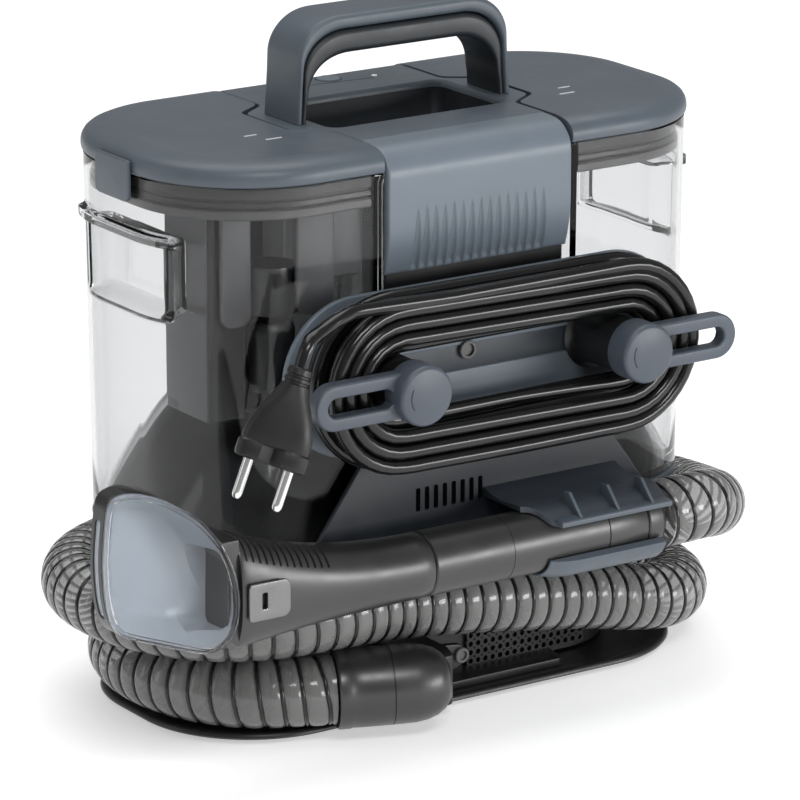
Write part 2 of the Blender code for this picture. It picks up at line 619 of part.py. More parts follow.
def make_wand():
    end, body_x = WAND_SEAMS_X
    centre = (0, WAND_Y, WAND_Z)
    turned("wand_tube", [(WAND_R + 0.2 * MM, body_x), (WAND_R, end - GAP)], centre, (1, 0, 0), "black", 24)
    turned("wand_end_cuff", [(WAND_R, end), (WAND_R - 0.4 * MM, WAND_END_X - 3 * MM), (WAND_R - 2.4 * MM, WAND_END_X)],
           centre, (1, 0, 0), "black", 24)

    def section(x, half_y, half_z, z):
        ring = []
        for i in range(24):
            angle = 2 * math.pi * i / 24
            ring.append((x * MM, WAND_Y + half_y * MM * math.cos(angle), (z + half_z * math.sin(angle)) * MM))
        return ring

    loft("nozzle_body", [section(-56.3, 15.6, 15.6, 91.5), section(-90, 15.6, 16.5, 92), section(-120, 16, 20, 94.5),
                         section(-145, 16.5, 24.5, 98), section(-163.5, 17, 28, 99)], "black")
    box("nozzle_latch", (-162 * MM, -129.6 * MM, 87 * MM), (-139 * MM, -127.6 * MM, 107 * MM), "steel")
    box("spray_trigger", (-45 * MM, -92.4 * MM, 84 * MM), (-12 * MM, -89 * MM, 99 * MM), "black")


def nozzle_outline(inset):
    """D-shaped outline of the nozzle in X and Z: a straight mouth on the left, round towards the wand."""
    upper = [(-231, 158.5), (-221, 159.5), (-200, 149.5), (-181, 137), (-170, 122), (-165, 104)]
    lower = [(-165.5, 92), (-171, 79), (-178, 76), (-190, 78), (-233, 95), (-236, 128)]
    points = [Vector(p) * MM for p in upper + lower]
    middle = Vector((-198 * MM, 115 * MM))
    out = []
    for p in points:
        out.append(tuple(p + (middle - p).normalized() * inset))
    return out


def make_nozzle():
    head = upright_plate("nozzle_head", nozzle_outline(0), -95 * MM, -124 * MM, "pale_slate", 30)
    inside = nozzle_outline(3.5 * MM)
    cut(head, upright_plate("hollow", inside, -98 * MM, -130 * MM, "pale_slate"))
    mouth = box_mesh("mouth", (-250 * MM, -121 * MM, 99 * MM), (-215 * MM, -98.5 * MM, 152 * MM))
    cut(head, add_object("mouth", mouth, "pale_slate"))
    duct = box_mesh("duct", (-190 * MM, -120 * MM, 88 * MM), (-150 * MM, -100 * MM, 112 * MM))
    cut(head, add_object("duct", duct, "pale_slate"))
    upright_plate("nozzle_cover", nozzle_outline(0), -124.3 * MM, -127.5 * MM, "smoke_clear", 30)


def make_hose():
    route = [Vector(p) * MM for p in HOSE_ROUTE]
    tube("hose", smooth_route(route, 27 * MM), HOSE_D, "hose_grey", 3)
    axis = (CUFF_BACK - CUFF_MOUTH).normalized()
    turned("hose_cuff", [(11 * MM, 0), (16.5 * MM, 4 * MM), (19 * MM, 12 * MM), (19.3 * MM, 30 * MM),
                         (18.2 * MM, 56.3 * MM)], CUFF_MOUTH, axis, "black", 24)


# ---- inside ------------------------------------------------------------------------------------
def make_inside():
    floor = PAN_Z[1] + GAP
    turned("vacuum_motor", [(34 * MM, 0), (36 * MM, 4 * MM), (36 * MM, 40 * MM), (20 * MM, 46 * MM)],
           (-35 * MM, 0, floor), (0, 0, 1), "steel", 24)
    turned("fan_impeller", [(28 * MM, 0), (30 * MM, 2 * MM), (30 * MM, 9 * MM), (14 * MM, 11 * MM)],
           (-35 * MM, 0, floor + 48 * MM), (0, 0, 1), "black", 20)
    turned("water_pump", [(16 * MM, 0), (16 * MM, 52 * MM)], (35 * MM, 8 * MM, floor + 16.5 * MM), (1, 0, 0),
           "black", 16)
    box("circuit_board", (-38 * MM, 62 * MM, 150 * MM), (38 * MM, 64 * MM, 240 * MM), "board_green")


def main():
    clear_scene()
    make_materials()
    make_base()
    make_hose_port()
    make_collars()
    make_seats()
    make_spine()
    make_handle()
    make_lower_panel()
    for name, side in (("dirty_tank", -1), ("clean_tank", 1)):
        make_tank(name, side)
        make_lid(name, side)
    make_tank_fittings()
    make_cord_bay()
    make_plug()
    make_cord_tubes()
    make_cradles()
    make_wand()
    make_nozzle()
    make_hose()
    make_inside()


main()
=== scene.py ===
"""Looks of a compact carpet spot cleaner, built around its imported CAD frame.

Each look piece takes the place of one or more CAD nodes and rides on the same body. Sizes in the
tables below are in millimetres in the frame's own coordinates: +Z up, the cord side faces -Y.
"""
import json
from math import atan2, copysign, cos, exp, hypot, pi, radians, sin, tan

import bmesh
import bpy
from mathutils import Matrix, Vector


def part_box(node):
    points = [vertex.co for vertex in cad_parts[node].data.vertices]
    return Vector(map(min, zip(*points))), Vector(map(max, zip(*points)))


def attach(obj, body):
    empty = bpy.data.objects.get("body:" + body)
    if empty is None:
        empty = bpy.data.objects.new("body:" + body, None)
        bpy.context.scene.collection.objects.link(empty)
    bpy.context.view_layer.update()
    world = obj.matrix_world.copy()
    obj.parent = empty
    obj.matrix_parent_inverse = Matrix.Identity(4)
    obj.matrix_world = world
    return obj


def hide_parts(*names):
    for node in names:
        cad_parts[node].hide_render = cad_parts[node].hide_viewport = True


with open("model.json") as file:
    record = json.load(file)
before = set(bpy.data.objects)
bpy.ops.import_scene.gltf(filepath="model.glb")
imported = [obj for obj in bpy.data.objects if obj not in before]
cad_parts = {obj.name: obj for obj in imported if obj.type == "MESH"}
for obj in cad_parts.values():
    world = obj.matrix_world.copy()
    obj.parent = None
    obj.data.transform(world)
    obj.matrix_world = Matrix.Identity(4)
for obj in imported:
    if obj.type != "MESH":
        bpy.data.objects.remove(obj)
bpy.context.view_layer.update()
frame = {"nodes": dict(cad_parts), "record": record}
RECORD = frame["record"]
BODY_OF = {node: body for body, nodes in RECORD["behaviour"]["bodies"].items() for node in nodes}
MM = 0.001
SIDES = (("left", -1), ("right", 1))
NEAR = (0, -1, 0)                   # direction of the cord side

# ---- driving dimensions, mm ----
CAMERA_TARGET = (7, 0, 134)
CAMERA_DISTANCE = 2482.5
CAMERA_AZIMUTH = -33.85             # degrees from straight at the cord side
CAMERA_ELEVATION = 16.515
CAMERA_LENS = 228.7
LIGHT_TARGET = (0, 0, 150)
FLOOR_GLOW = 0.45
SKY = 0.30

BODY_HX = 152                       # half length of the tanks and lids
BODY_HY = 78
BODY_R = 63
SPINE_HX = 52.2                     # half length of the spine's panels
LOBE_X = 68                         # lobes of the deck, which carry the handle's legs
LOBE_TIP_Y = 20
DECK_HY = 31
DECK_Z = 283.5
TANK_Z = (95, 272)
TANK_WALL = 2.2
RECESS_X = 136                      # floor of the finger recess in a tank's round end
RECESS_Z = (207, 241.3)
RECESS_HY = 33
BAR_Z = (241, 247.5)                # grip bar above the recess
BAR_HY = 42
SEAT_RISE = 56
SEAT_STEPS = 12
FLUTE_COUNT = 15
FLUTE_PITCH = 5.1
FLUTE_Z = (223, 255)
FLOAT_AT = (-100, -52, 0)           # axis of the float and its guide
BUTTON_AT = (5, 60)
LIGHT_AT = (28, 54)

HOOK_X = 63.3
HOOK_Z = 178.5
CORD_D = 7
COIL_RADII = (17.8, 39.4)           # middle of the innermost and outermost turns
COIL_TURNS = 4                      # in each layer
COIL_LAYERS = (-94.1, -101.25, -108.4)
WAND_Y = -110
WAND_Z = 91.5
WAND_R = 15.4
HOSE_D = 34.5
HOSE_PITCH = 9.6                    # of the spiral rib

# route of the cord: from the gland to the back of the coil, and from the coil to the plug
CORD_LEAD = [(17.6, -86.5, 207), (-10, -86.5, 207), (-40, -86.5, 205.5), (-62, -86.5, 200.5),
             (-80, -86.5, 192)]
CORD_ENTRY = [(-85.6, -88.2, 181), (-84.5, -91.2, 170.5)]    # from behind the coil into its innermost turn
CORD_TAIL = [(-88, -110, 219.5), (-102, -113.5, 218.5), (-115, -117, 214.5)]
PLUG_AT = (-148, -125, 160)
PIN_SPREAD = 9.5
# route of the hose: from its cuff twice round the waist and up into the end of the wand
HOSE_ROUTE = [(-82.4, -75.8, 24.6), (-93, -71, 24.3), (-118, -55, 23.7), (-134, -31, 23.7), (-140, 0, 23.7),
              (-134, 31, 23.7), (-115, 55, 23.7), (-86, 66, 23.7), (-45, 68, 23.7), (10, 68, 23.7),
              (65, 68, 23.7), (105, 65, 23.7), (135, 50, 23.7), (152, 25, 23.7), (156, -5, 23.7),
              (149, -35, 24.5), (129, -56, 27.5), (103, -65, 33), (72, -68, 40.5), (35, -69, 47),
              (0, -68.5, 52), (-40, -67.5, 56.5), (-80, -71.5, 60), (-112, -68, 60.5), (-139, -54, 61),
              (-157, -28, 61.5), (-164, 2, 62), (-158, 33, 61.5), (-138, 60, 61), (-105, 77, 60),
              (-55, 84, 59), (5, 84, 58.5), (65, 84, 58.5), (112, 79, 58.5), (145, 58, 59), (163, 30, 60),
              (168, 0, 62), (162, -34, 67), (147, -66, 75), (130, -90, 83.5), (113, -104, 89.5),
              (98, -109.2, 91.3), (80.5, -110, 91.5)]


# ---- materials ----
def set_inputs(node, **values):
    for key, value in values.items():
        node.inputs[key.replace("_", " ")].default_value = value


def add_node(tree, kind, **values):
    node = tree.nodes.new(kind)
    set_inputs(node, **values)
    return node


def noise(tree, scale, detail=3.0):
    where = tree.nodes.new("ShaderNodeTexCoord")
    node = add_node(tree, "ShaderNodeTexNoise", Scale=scale, Detail=detail)
    tree.links.new(where.outputs["Object"], node.inputs["Vector"])
    return node


def spread(tree, source, low, high):
    """Maps a noise's middle range to low..high."""
    node = add_node(tree, "ShaderNodeMapRange", From_Min=0.3, From_Max=0.7, To_Min=low, To_Max=high)
    tree.links.new(source.outputs[0], node.inputs["Value"])
    return node.outputs["Result"]


def plastic(name, colour, roughness, grain=0.25, grain_mm=0.45, mottle=0.07, metallic=0.0, coat=0.0,
            specular=0.5):
    """Moulded plastic, rubber or metal: slow changes of tone, a fine grain and uneven gloss."""
    mat = bpy.data.materials.new(name)
    mat.use_nodes = True
    tree = mat.node_tree
    link = tree.links.new
    shader = tree.nodes["Principled BSDF"]
    set_inputs(shader, Metallic=metallic, Specular_IOR_Level=specular, Coat_Weight=coat, Coat_Roughness=0.15)
    ramp = tree.nodes.new("ShaderNodeValToRGB")
    for stop, position, tone in zip(ramp.color_ramp.elements, (0.3, 0.7), (1 - mottle, 1 + mottle)):
        stop.position = position
        stop.color = (*[min(1, c * tone) for c in colour], 1)
    link(noise(tree, 22).outputs[0], ramp.inputs["Fac"])
    link(ramp.outputs["Color"], shader.inputs["Base Color"])
    link(spread(tree, noise(tree, 90), roughness * 0.88, roughness * 1.12), shader.inputs["Roughness"])
    bump = add_node(tree, "ShaderNodeBump", Strength=grain, Distance=0.00006)
    link(noise(tree, 1000 / grain_mm, 2).outputs[0], bump.inputs["Height"])
    link(bump.outputs["Normal"], shader.inputs["Normal"])
    mat.diffuse_color = (*colour, 1)
    return mat


def clear(name, tint, edge_tint):
    """Clear plastic that lets lamps through, darker where it is seen edge on."""
    mat = bpy.data.materials.new(name)
    mat.use_nodes = True
    tree = mat.node_tree
    link = tree.links.new
    shader = tree.nodes["Principled BSDF"]
    set_inputs(shader, Transmission_Weight=1.0, IOR=1.28)
    link(spread(tree, noise(tree, 60), 0.006, 0.014), shader.inputs["Roughness"])
    facing = add_node(tree, "ShaderNodeLayerWeight", Blend=0.5)
    power = tree.nodes.new("ShaderNodeMath")
    power.operation = "POWER"
    power.inputs[1].default_value = 3.0
    link(facing.outputs["Facing"], power.inputs[0])
    mix = tree.nodes.new("ShaderNodeMix")
    mix.data_type = "RGBA"
    set_inputs(mix, A=(*tint, 1), B=(*edge_tint, 1))
    link(power.outputs[0], mix.inputs["Factor"])
    link(mix.outputs["Result"], shader.inputs["Base Color"])
    path = tree.nodes.new("ShaderNodeLightPath")
    through = add_node(tree, "ShaderNodeBsdfTransparent", Color=(*[c * 0.92 for c in tint], 1))
    either = tree.nodes.new("ShaderNodeMixShader")
    link(path.outputs["Is Shadow Ray"], either.inputs["Fac"])
    link(shader.outputs["BSDF"], either.inputs[1])
    link(through.outputs["BSDF"], either.inputs[2])
    link(either.outputs["Shader"], tree.nodes["Material Output"].inputs["Surface"])
    mat.diffuse_color = (*tint, 0.3)
    return mat


SLATE = plastic("slate", (0.078, 0.097, 0.118), 0.42)
# darker copy of the slate: painted shade on the infill inside the coil and on the upper cradle's saddle
SLATE_SHADED = plastic("slate_painted_shade", (0.034, 0.042, 0.053), 0.42)
# still darker copy of the slate: painted shade on the panel below the cord bay, under the coil
SLATE_SKIRT_SHADED = plastic("slate_skirt_painted_shade", (0.014, 0.018, 0.024), 0.42)
# lighter copy of the slate: painted light on the near upright faces that the lamps catch; the button cap uses it
# too
SLATE_LIT = plastic("slate_painted_light", (0.135, 0.164, 0.196), 0.38)
SLATE_HOOK = plastic("slate_hook", (0.064, 0.078, 0.100), 0.40)
SLATE_DARK = plastic("slate_dark", (0.016, 0.020, 0.024), 0.42)
PALE = plastic("pale_slate", (0.29, 0.32, 0.355), 0.34)
BLACK = plastic("black", (0.009, 0.009, 0.010), 0.38, grain=0.12)
SEAT = plastic("seat_black", (0.008, 0.008, 0.009), 0.40, grain=0.0)
PLUG = plastic("plug_rubber", (0.007, 0.007, 0.007), 0.42, grain=0.12)
SATIN = plastic("satin_black", (0.016, 0.016, 0.016), 0.34, grain=0.12, mottle=0.1, specular=0.85)
MARK = plastic("pale_mark", (0.55, 0.56, 0.58), 0.5, grain=0.05)
RUBBER = plastic("foot_rubber", (0.016, 0.016, 0.016), 0.75, grain=0.5)
CORD = plastic("cord_rubber", (0.005, 0.005, 0.005), 0.20, grain=0.05)
SEAL = plastic("grey_seal", (0.048, 0.047, 0.047), 0.42, grain=0.0)
# lighter grey: on the seal's lower lip a painted highlight; also the grey of the screw heads
SEAL_HIGHLIGHT_AND_SCREW_GREY = plastic("grey_seal_highlight_and_screw_grey", (0.10, 0.098, 0.098), 0.35, grain=0.0)
SMOKE = plastic("separator_grey", (0.090, 0.090, 0.093), 0.32, grain=0.0)
SMOKE_DARK = plastic("separator_dark", (0.018, 0.018, 0.019), 0.32, grain=0.0)
STEEL = plastic("plug_steel", (0.80, 0.80, 0.80), 0.20, grain=0.15, metallic=1.0, mottle=0.03)
SILVER = plastic("latch_silver", (0.21, 0.21, 0.21), 0.28, grain=0.15, metallic=0.9)
LENS = plastic("light_lens", (0.75, 0.78, 0.80), 0.25, grain=0.05)
BOARD = plastic("board", (0.02, 0.10, 0.05), 0.45)
CLEAR = clear("clear_plastic", (0.80, 0.805, 0.81), (0.36, 0.37, 0.38))
CLEAR_SMOKE = clear("clear_smoke", (0.84, 0.84, 0.85), (0.25, 0.25, 0.26))
CLEAR_COVER = clear("clear_cover", (0.93, 0.94, 0.95), (0.30, 0.31, 0.32))
RIB = plastic("hose_rib", (0.010, 0.010, 0.010), 0.22, grain=0.1)


def hose_material():
    """Grey vinyl that shows a little of what is behind it."""
    mat = plastic("hose_vinyl", (0.25, 0.25, 0.246), 0.15, grain=0.1, grain_mm=1.5, mottle=0.16, coat=0.6)
    set_inputs(mat.node_tree.nodes["Principled BSDF"], Alpha=0.62)
    return mat


HOSE = hose_material()


# ---- mesh tools ----
def add_object(name, data):
    obj = bpy.data.objects.new(name, data)
    bpy.context.scene.collection.objects.link(obj)
    return obj


def piece(name, bm, mat, node, hides=True, sharp=35):
    """Puts a shape on the body of a CAD node, in whose place it is shown when hides is set."""
    mesh = to_mesh(bm)
    obj = add_object(name, mesh)
    mesh.materials.append(mat)
    mesh.shade_smooth()
    mesh.set_sharp_from_angle(angle=radians(sharp))
    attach(obj, BODY_OF[node])
    if hides:
        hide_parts(node)
    return obj


def to_mesh(bm):
    bmesh.ops.recalc_face_normals(bm, faces=bm.faces)
    mesh = bpy.data.meshes.new("look")
    bm.to_mesh(mesh)
    bm.free()
    return mesh


def loft(rings, closed=False, into=None):
    """A solid through rings of points in millimetres; end rings are capped unless the path closes."""
    bm = into or bmesh.new()
    loops = [[bm.verts.new(Vector(p) * MM) for p in ring] for ring in rings]
    count = len(loops[0])
    pairs = list(zip(loops[:-1], loops[1:]))
    if closed:
        pairs.append((loops[-1], loops[0]))
    for lower, upper in pairs:
        for i in range(count):
            j = (i + 1) % count
            bm.faces.new((lower[i], lower[j], upper[j], upper[i]))
    if not closed:
        bm.faces.new(loops[0])
        bm.faces.new(loops[-1])
    return bm


def arc(cx, cy, radius, start, end, steps):
    points = []
    for i in range(steps + 1):
        angle = radians(start + (end - start) * i / steps)
        points.append((cx + radius * cos(angle), cy + radius * sin(angle)))
    return points


def filleted(corners, steps=6):
    """Outline through corners (x, y, radius[, steps]), each one rounded."""
    outline = []
    count = len(corners)
    for i, (x, y, radius, *own) in enumerate(corners):
        p = Vector((x, y))
        back = Vector(corners[i - 1][:2]) - p
        on = Vector(corners[(i + 1) % count][:2]) - p
        half = back.angle(on) / 2
        reach = min(radius / tan(half), 0.48 * back.length, 0.48 * on.length)
        if radius > 30:
            reach = radius / tan(half)
        radius = reach * tan(half)
        centre = p + (back.normalized() + on.normalized()).normalized() * (radius / sin(half))
        start = p + back.normalized() * reach - centre
        end = p + on.normalized() * reach - centre
        a0 = atan2(start.y, start.x)
        turn = (atan2(end.y, end.x) - a0 + pi) % (2 * pi) - pi
        number = own[0] if own else steps
        for k in range(number + 1):
            angle = a0 + turn * k / number
            outline.append((centre.x + radius * cos(angle), centre.y + radius * sin(angle)))
    return outline


def offset(outline, distance):
    """The outline moved inwards along its own normals."""
    count = len(outline)
    area = sum(outline[i - 1][0] * outline[i][1] - outline[i][0] * outline[i - 1][1] for i in range(count))
    inward = 1 if area > 0 else -1
    moved = []
    for i, p in enumerate(outline):
        a = Vector(outline[i - 1])
        b = Vector(outline[(i + 1) % count])
        along = (b - a).normalized()
        moved.append((p[0] - inward * along.y * distance, p[1] + inward * along.x * distance))
    return moved


def rectangle(x0, x1, y0, y1, radius, steps=6):
    return filleted([(x0, y0, radius), (x1, y0, radius), (x1, y1, radius), (x0, y1, radius)], steps)


def rounded(hx, hy, radius, steps=16):
    """Rectangle about the middle, with rounded corners."""
    return rectangle(-hx, hx, -hy, hy, radius, steps)


def squared_oval(half_x, half_y, power, steps):
    """Oval outline, squarer for a power further below 1."""
    outline = []
    for i in range(steps):
        angle = 2 * pi * i / steps
        c, s = cos(angle), sin(angle)
        outline.append((half_x * copysign(abs(c) ** power, c), half_y * copysign(abs(s) ** power, s)))
    return outline


def set_flat(outline, z):
    return [(x, y, z) for x, y in outline]


def set_upright(outline, y):
    return [(x, y, z) for x, z in outline]


def set_across(outline, x):
    return [(x, y, z) for y, z in outline]


def edge_steps(low, high, edge):
    """(inset, height) pairs of a slab with rounded edges."""
    pairs = [(edge - y, low + edge - x) for x, y in arc(0, 0, edge, 0, 90, 4)]
    return pairs + [(inset, low + high - height) for inset, height in reversed(pairs)]


def slab(outline, low, high, edge, place=set_flat, into=None):
    """A plate of an outline with rounded edges, between two heights along its own axis."""
    rings = [place(offset(outline, inset), height) for inset, height in edge_steps(low, high, edge)]
    return loft(rings, into=into)


def frame_slab(outer, inner, low, high, edge, place=set_flat):
    """A plate with a hole: outer and inner outlines have as many points as each other."""
    rings = [place(offset(outer, inset), height) for inset, height in edge_steps(low, high, edge)]
    rings += [place(offset(inner, -inset), height) for inset, height in reversed(edge_steps(low, high, edge))]
    return loft(rings, closed=True)


def lathe(profile, centre, axis=(0, 0, 1), steps=48):
    """A solid turned about an axis through centre; profile holds (radius, distance along the axis)."""
    turn = Vector((0, 0, 1)).rotation_difference(Vector(axis)).to_matrix()
    rings = []
    for radius, along in profile:
        rings.append([Vector(centre) + turn @ Vector((x, y, along))
                      for x, y in arc(0, 0, radius, 0, 360, steps)[:-1]])
    return loft(rings)


def cut(obj, *cutters):
    """Takes each cutter shape out of an object."""
    for bm in cutters:
        cutter = add_object("cutter", to_mesh(bm))
        modifier = obj.modifiers.new("cut", "BOOLEAN")
        modifier.operation = "DIFFERENCE"
        modifier.solver = "EXACT"
        modifier.object = cutter
        mesh = bpy.data.meshes.new_from_object(obj.evaluated_get(bpy.context.evaluated_depsgraph_get()))
        obj.modifiers.clear()
        obj.data = mesh
        bpy.data.objects.remove(cutter, do_unlink=True)
    obj.data.shade_smooth()
    obj.data.set_sharp_from_angle(angle=radians(35))


def cubic(a, b, c, d, t):
    """Point at t on the smooth curve from b to c."""
    return 0.5 * (2 * b + (c - a) * t + (2 * a - 5 * b + 4 * c - d) * t ** 2
                  + (3 * b - a - 3 * c + d) * t ** 3)


def smooth_route(points, spacing):
    """Points at an even spacing on a smooth curve through a route's own points."""
    route = [Vector(p) for p in points]
    route = [2 * route[0] - route[1]] + route + [2 * route[-1] - route[-2]]
    dense = []
    for i in range(1, len(route) - 2):
        dense += [cubic(*route[i - 1:i + 3], k / 20) for k in range(20)]
    dense.append(route[-2])
    return even(dense, spacing)


def even(dense, spacing):
    lengths = [0.0]
    for p, q in zip(dense[:-1], dense[1:]):
        lengths.append(lengths[-1] + (q - p).length)
    count = max(2, round(lengths[-1] / spacing))
    out = []
    k = 0
    for n in range(count + 1):
        target = lengths[-1] * n / count
        while k < len(lengths) - 2 and lengths[k + 1] < target:
            k += 1
        span = lengths[k + 1] - lengths[k]
        out.append(dense[k].lerp(dense[k + 1], (target - lengths[k]) / span if span else 0))
    return out


def frames_along(points):
    """Side and up directions at each point of a route, without twist."""
    tangents = []
    for i in range(len(points)):
        tangents.append((points[min(i + 1, len(points) - 1)] - points[max(i - 1, 0)]).normalized())
    side = tangents[0].cross(Vector((0, 0, 1))).normalized()
    out = []
    for tangent in tangents:
        side = (side - side.dot(tangent) * tangent).normalized()
        out.append((side, tangent.cross(side)))
    return out


def sweep(points, section, into=None):
    """A solid along a route; section(i) gives the (side, up) outline at point i."""
    rings = []
    for i, (point, (side, up)) in enumerate(zip(points, frames_along(points))):
        rings.append([point + side * a + up * b for a, b in section(i)])
    return loft(rings, into=into)


def rod(points, radius, spacing=2.0, sides=10, into=None):
    circle = arc(0, 0, radius, 0, 360, sides)[:-1]
    return sweep(smooth_route(points, spacing), lambda i: circle, into=into)


def smoothstep(low, high, value):
    t = min(1.0, max(0.0, (value - low) / (high - low)))
    return t * t * (3 - 2 * t)


# ---- cord and plug ----
def racetrack_point(radius, turn, y):
    """Point on a coil round both hook posts; turn 0 is the lower middle, and it runs towards +X."""
    half = 2 * HOOK_X
    bend = pi * radius
    along = (turn % 1.0) * (2 * half + 2 * bend)
    if along < HOOK_X:
        return Vector((along, y, HOOK_Z - radius))
    along -= HOOK_X
    if along < bend:
        angle = -pi / 2 + along / radius
        return Vector((HOOK_X + radius * cos(angle), y, HOOK_Z + radius * sin(angle)))
    along -= bend
    if along < half:
        return Vector((HOOK_X - along, y, HOOK_Z + radius))
    along -= half
    if along < bend:
        angle = pi / 2 + along / radius
        return Vector((-HOOK_X + radius * cos(angle), y, HOOK_Z + radius * sin(angle)))
    return Vector((-HOOK_X + along - bend, y, HOOK_Z - radius))


def coil_points():
    """Three layers of turns, wound outwards, inwards and outwards again."""
    inner, outer = COIL_RADII
    start, end = 0.9, 3 * COIL_TURNS - 0.42
    points = []
    steps = 44
    total = int((end - start) * steps)
    for n in range(total + 1):
        turn = start + (end - start) * n / total
        layer = min(2, int(turn / COIL_TURNS))
        part = turn / COIL_TURNS - layer
        rise = min(1.0, part * COIL_TURNS / (COIL_TURNS - 1))
        radius = inner + (outer - inner) * (rise if layer != 1 else 1 - rise)
        y = COIL_LAYERS[layer]
        if layer and part < 0.1:
            y = COIL_LAYERS[layer - 1] + (y - COIL_LAYERS[layer - 1]) * smoothstep(0, 0.1, part)
        radius += 0.25 * sin(5.1 * turn + layer)
        points.append(racetrack_point(radius, turn, y))
    return points


def plug_matrix():
    """X runs across the pins and -Z along them, from the pin roots."""
    across_pins = Vector((0.735, -0.598, -0.302)).normalized()
    along = Vector((-0.402, -0.055, -0.914))
    up = -(along - along.dot(across_pins) * across_pins).normalized()
    turn = Matrix((across_pins, up.cross(across_pins), up)).transposed().to_4x4()
    return Matrix.Translation(PLUG_AT) @ turn


def make_cord():
    place = plug_matrix()
    collar_top = place @ Vector((0, 0, 46.3))
    rise = (place.to_3x3() @ Vector((0, 0, 1))).normalized()
    lead = smooth_route(CORD_LEAD, 4)
    tail = smooth_route([Vector(p) for p in CORD_TAIL] + [collar_top + 12 * rise, collar_top], 4)
    entry = [Vector(p) for p in CORD_ENTRY]
    route = smooth_route(lead[::2] + entry + coil_points() + tail[:-1:2] + tail[-1:], 6.5)
    curve = bpy.data.curves.new("power_cord", "CURVE")
    curve.dimensions = "3D"
    curve.bevel_depth = CORD_D / 2 * MM
    curve.bevel_resolution = 5
    curve.use_fill_caps = True
    spline = curve.splines.new("POLY")
    spline.points.add(len(route) - 1)
    for target, point in zip(spline.points, route):
        target.co = (*(point * MM), 1)
    spline.use_smooth = True
    curve.materials.append(CORD)
    cord = add_object("power_cord", curve)
    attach(cord, "root")
    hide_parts("power_cord_lead", "power_cord_coil", "power_cord_tail")
    plug = make_plug(place)


def make_plug(place):
    def ring(half_width, half_depth, z, power=0.62):
        out = []
        for x, y in squared_oval(half_width, half_depth, power, 40):
            if z < 8.2:
                y *= 1 - 0.5 * exp(-(x / 3.2) ** 2)
            out.append(place @ Vector((x, y, z)))
        return out

    levels = [(15.5, 6.0, 0), (16.6, 6.8, 0.6), (17.0, 7.2, 2), (17.0, 7.3, 7.6), (16.0, 6.9, 8.6),
              (16.2, 7.2, 10), (15.4, 7.5, 16), (13.4, 7.5, 22), (10.8, 7.2, 28, 0.8), (8.2, 6.8, 33, 0.9),
              (6.6, 6.3, 37, 1), (6.4, 6.2, 37.8, 1)]
    sleeve = [(5.5, 38.2), (5.5, 39.2), (6.1, 39.6), (6.0, 41), (5.2, 41.4), (5.2, 42.4), (5.8, 42.8),
              (5.5, 45.4), (4.6, 46)]
    levels += [(radius, radius, z, 1) for radius, z in sleeve]
    body = loft([ring(*level) for level in levels])
    pieces = [piece("plug_shell", body, PLUG, "plug_body", sharp=30)]
    down = place.to_3x3() @ Vector((0, 0, -1))
    for end, side in SIDES:
        root = place @ Vector((side * PIN_SPREAD, 0, -0.3))
        pin = lathe([(2.4, 0), (2.4, 15.6), (2.2, 17.4), (1.4, 18.7), (0.3, 19)], root, down, 24)
        pieces.append(piece("plug_pin_%s_metal" % end, pin, STEEL, "plug_pin_" + end))
    return pieces


# ---- hose ----
def make_hose():
    path = smooth_route(HOSE_ROUTE, 1.2)
    step = sum((q - p).length for p, q in zip(path[:-1], path[1:])) / (len(path) - 1)
    sides = 32
    peak = HOSE_D / 2 - 0.5

    def section(i):
        out = []
        for k in range(sides):
            phase = (i * step / HOSE_PITCH - k / sides) % 1.0
            groove = exp(-((min(phase, 1 - phase) / 0.13) ** 2))
            radius = peak - 1.5 * groove - 0.25 * (1 - sin(pi * phase))
            angle = 2 * pi * k / sides
            out.append((radius * cos(angle), radius * sin(angle)))
        return out

    hose = piece("hose_vinyl", sweep(path, section), HOSE, "hose", sharp=80)
    frames = frames_along(path)
    length = step * (len(path) - 1)
    helix = []
    for n in range(int(length / HOSE_PITCH * 30)):
        along = n * HOSE_PITCH / 30 / step
        i = min(int(along), len(path) - 2)
        side, up = frames[i]
        angle = 2 * pi * n / 30
        centre = path[i].lerp(path[i + 1], along - i)
        helix.append(centre + (side * cos(angle) + up * sin(angle)) * (peak - 1.05))
    rib_section = arc(0, 0, 0.95, 0, 360, 6)[:-1]
    rib = piece("hose_rib", sweep(helix, lambda i: rib_section), RIB, "hose", hides=False, sharp=80)


# ---- body ----
def half_plan(side, inset, gap, shift=0.0):
    """Plan of one tank: flat against the spine, notched round the deck's lobe, round at its end."""
    hx = BODY_HX - inset - shift
    hy = BODY_HY - inset
    x_in = 52.5 + gap
    notch_x = LOBE_X + 1 + gap
    notch_y = LOBE_TIP_Y + 1 + gap
    root_y = DECK_HY + 1 + gap
    radius = BODY_R - inset
    corners = [(x_in, -hy, 0.3, 1), (hx, -hy, radius, 40), (hx, hy, radius, 40), (x_in, hy, 0.3, 1),
               (x_in, root_y, 7), (notch_x, notch_y, 7), (notch_x, -notch_y, 7), (x_in, -root_y, 7)]
    return [(side * x, y) for x, y in filleted(corners)]


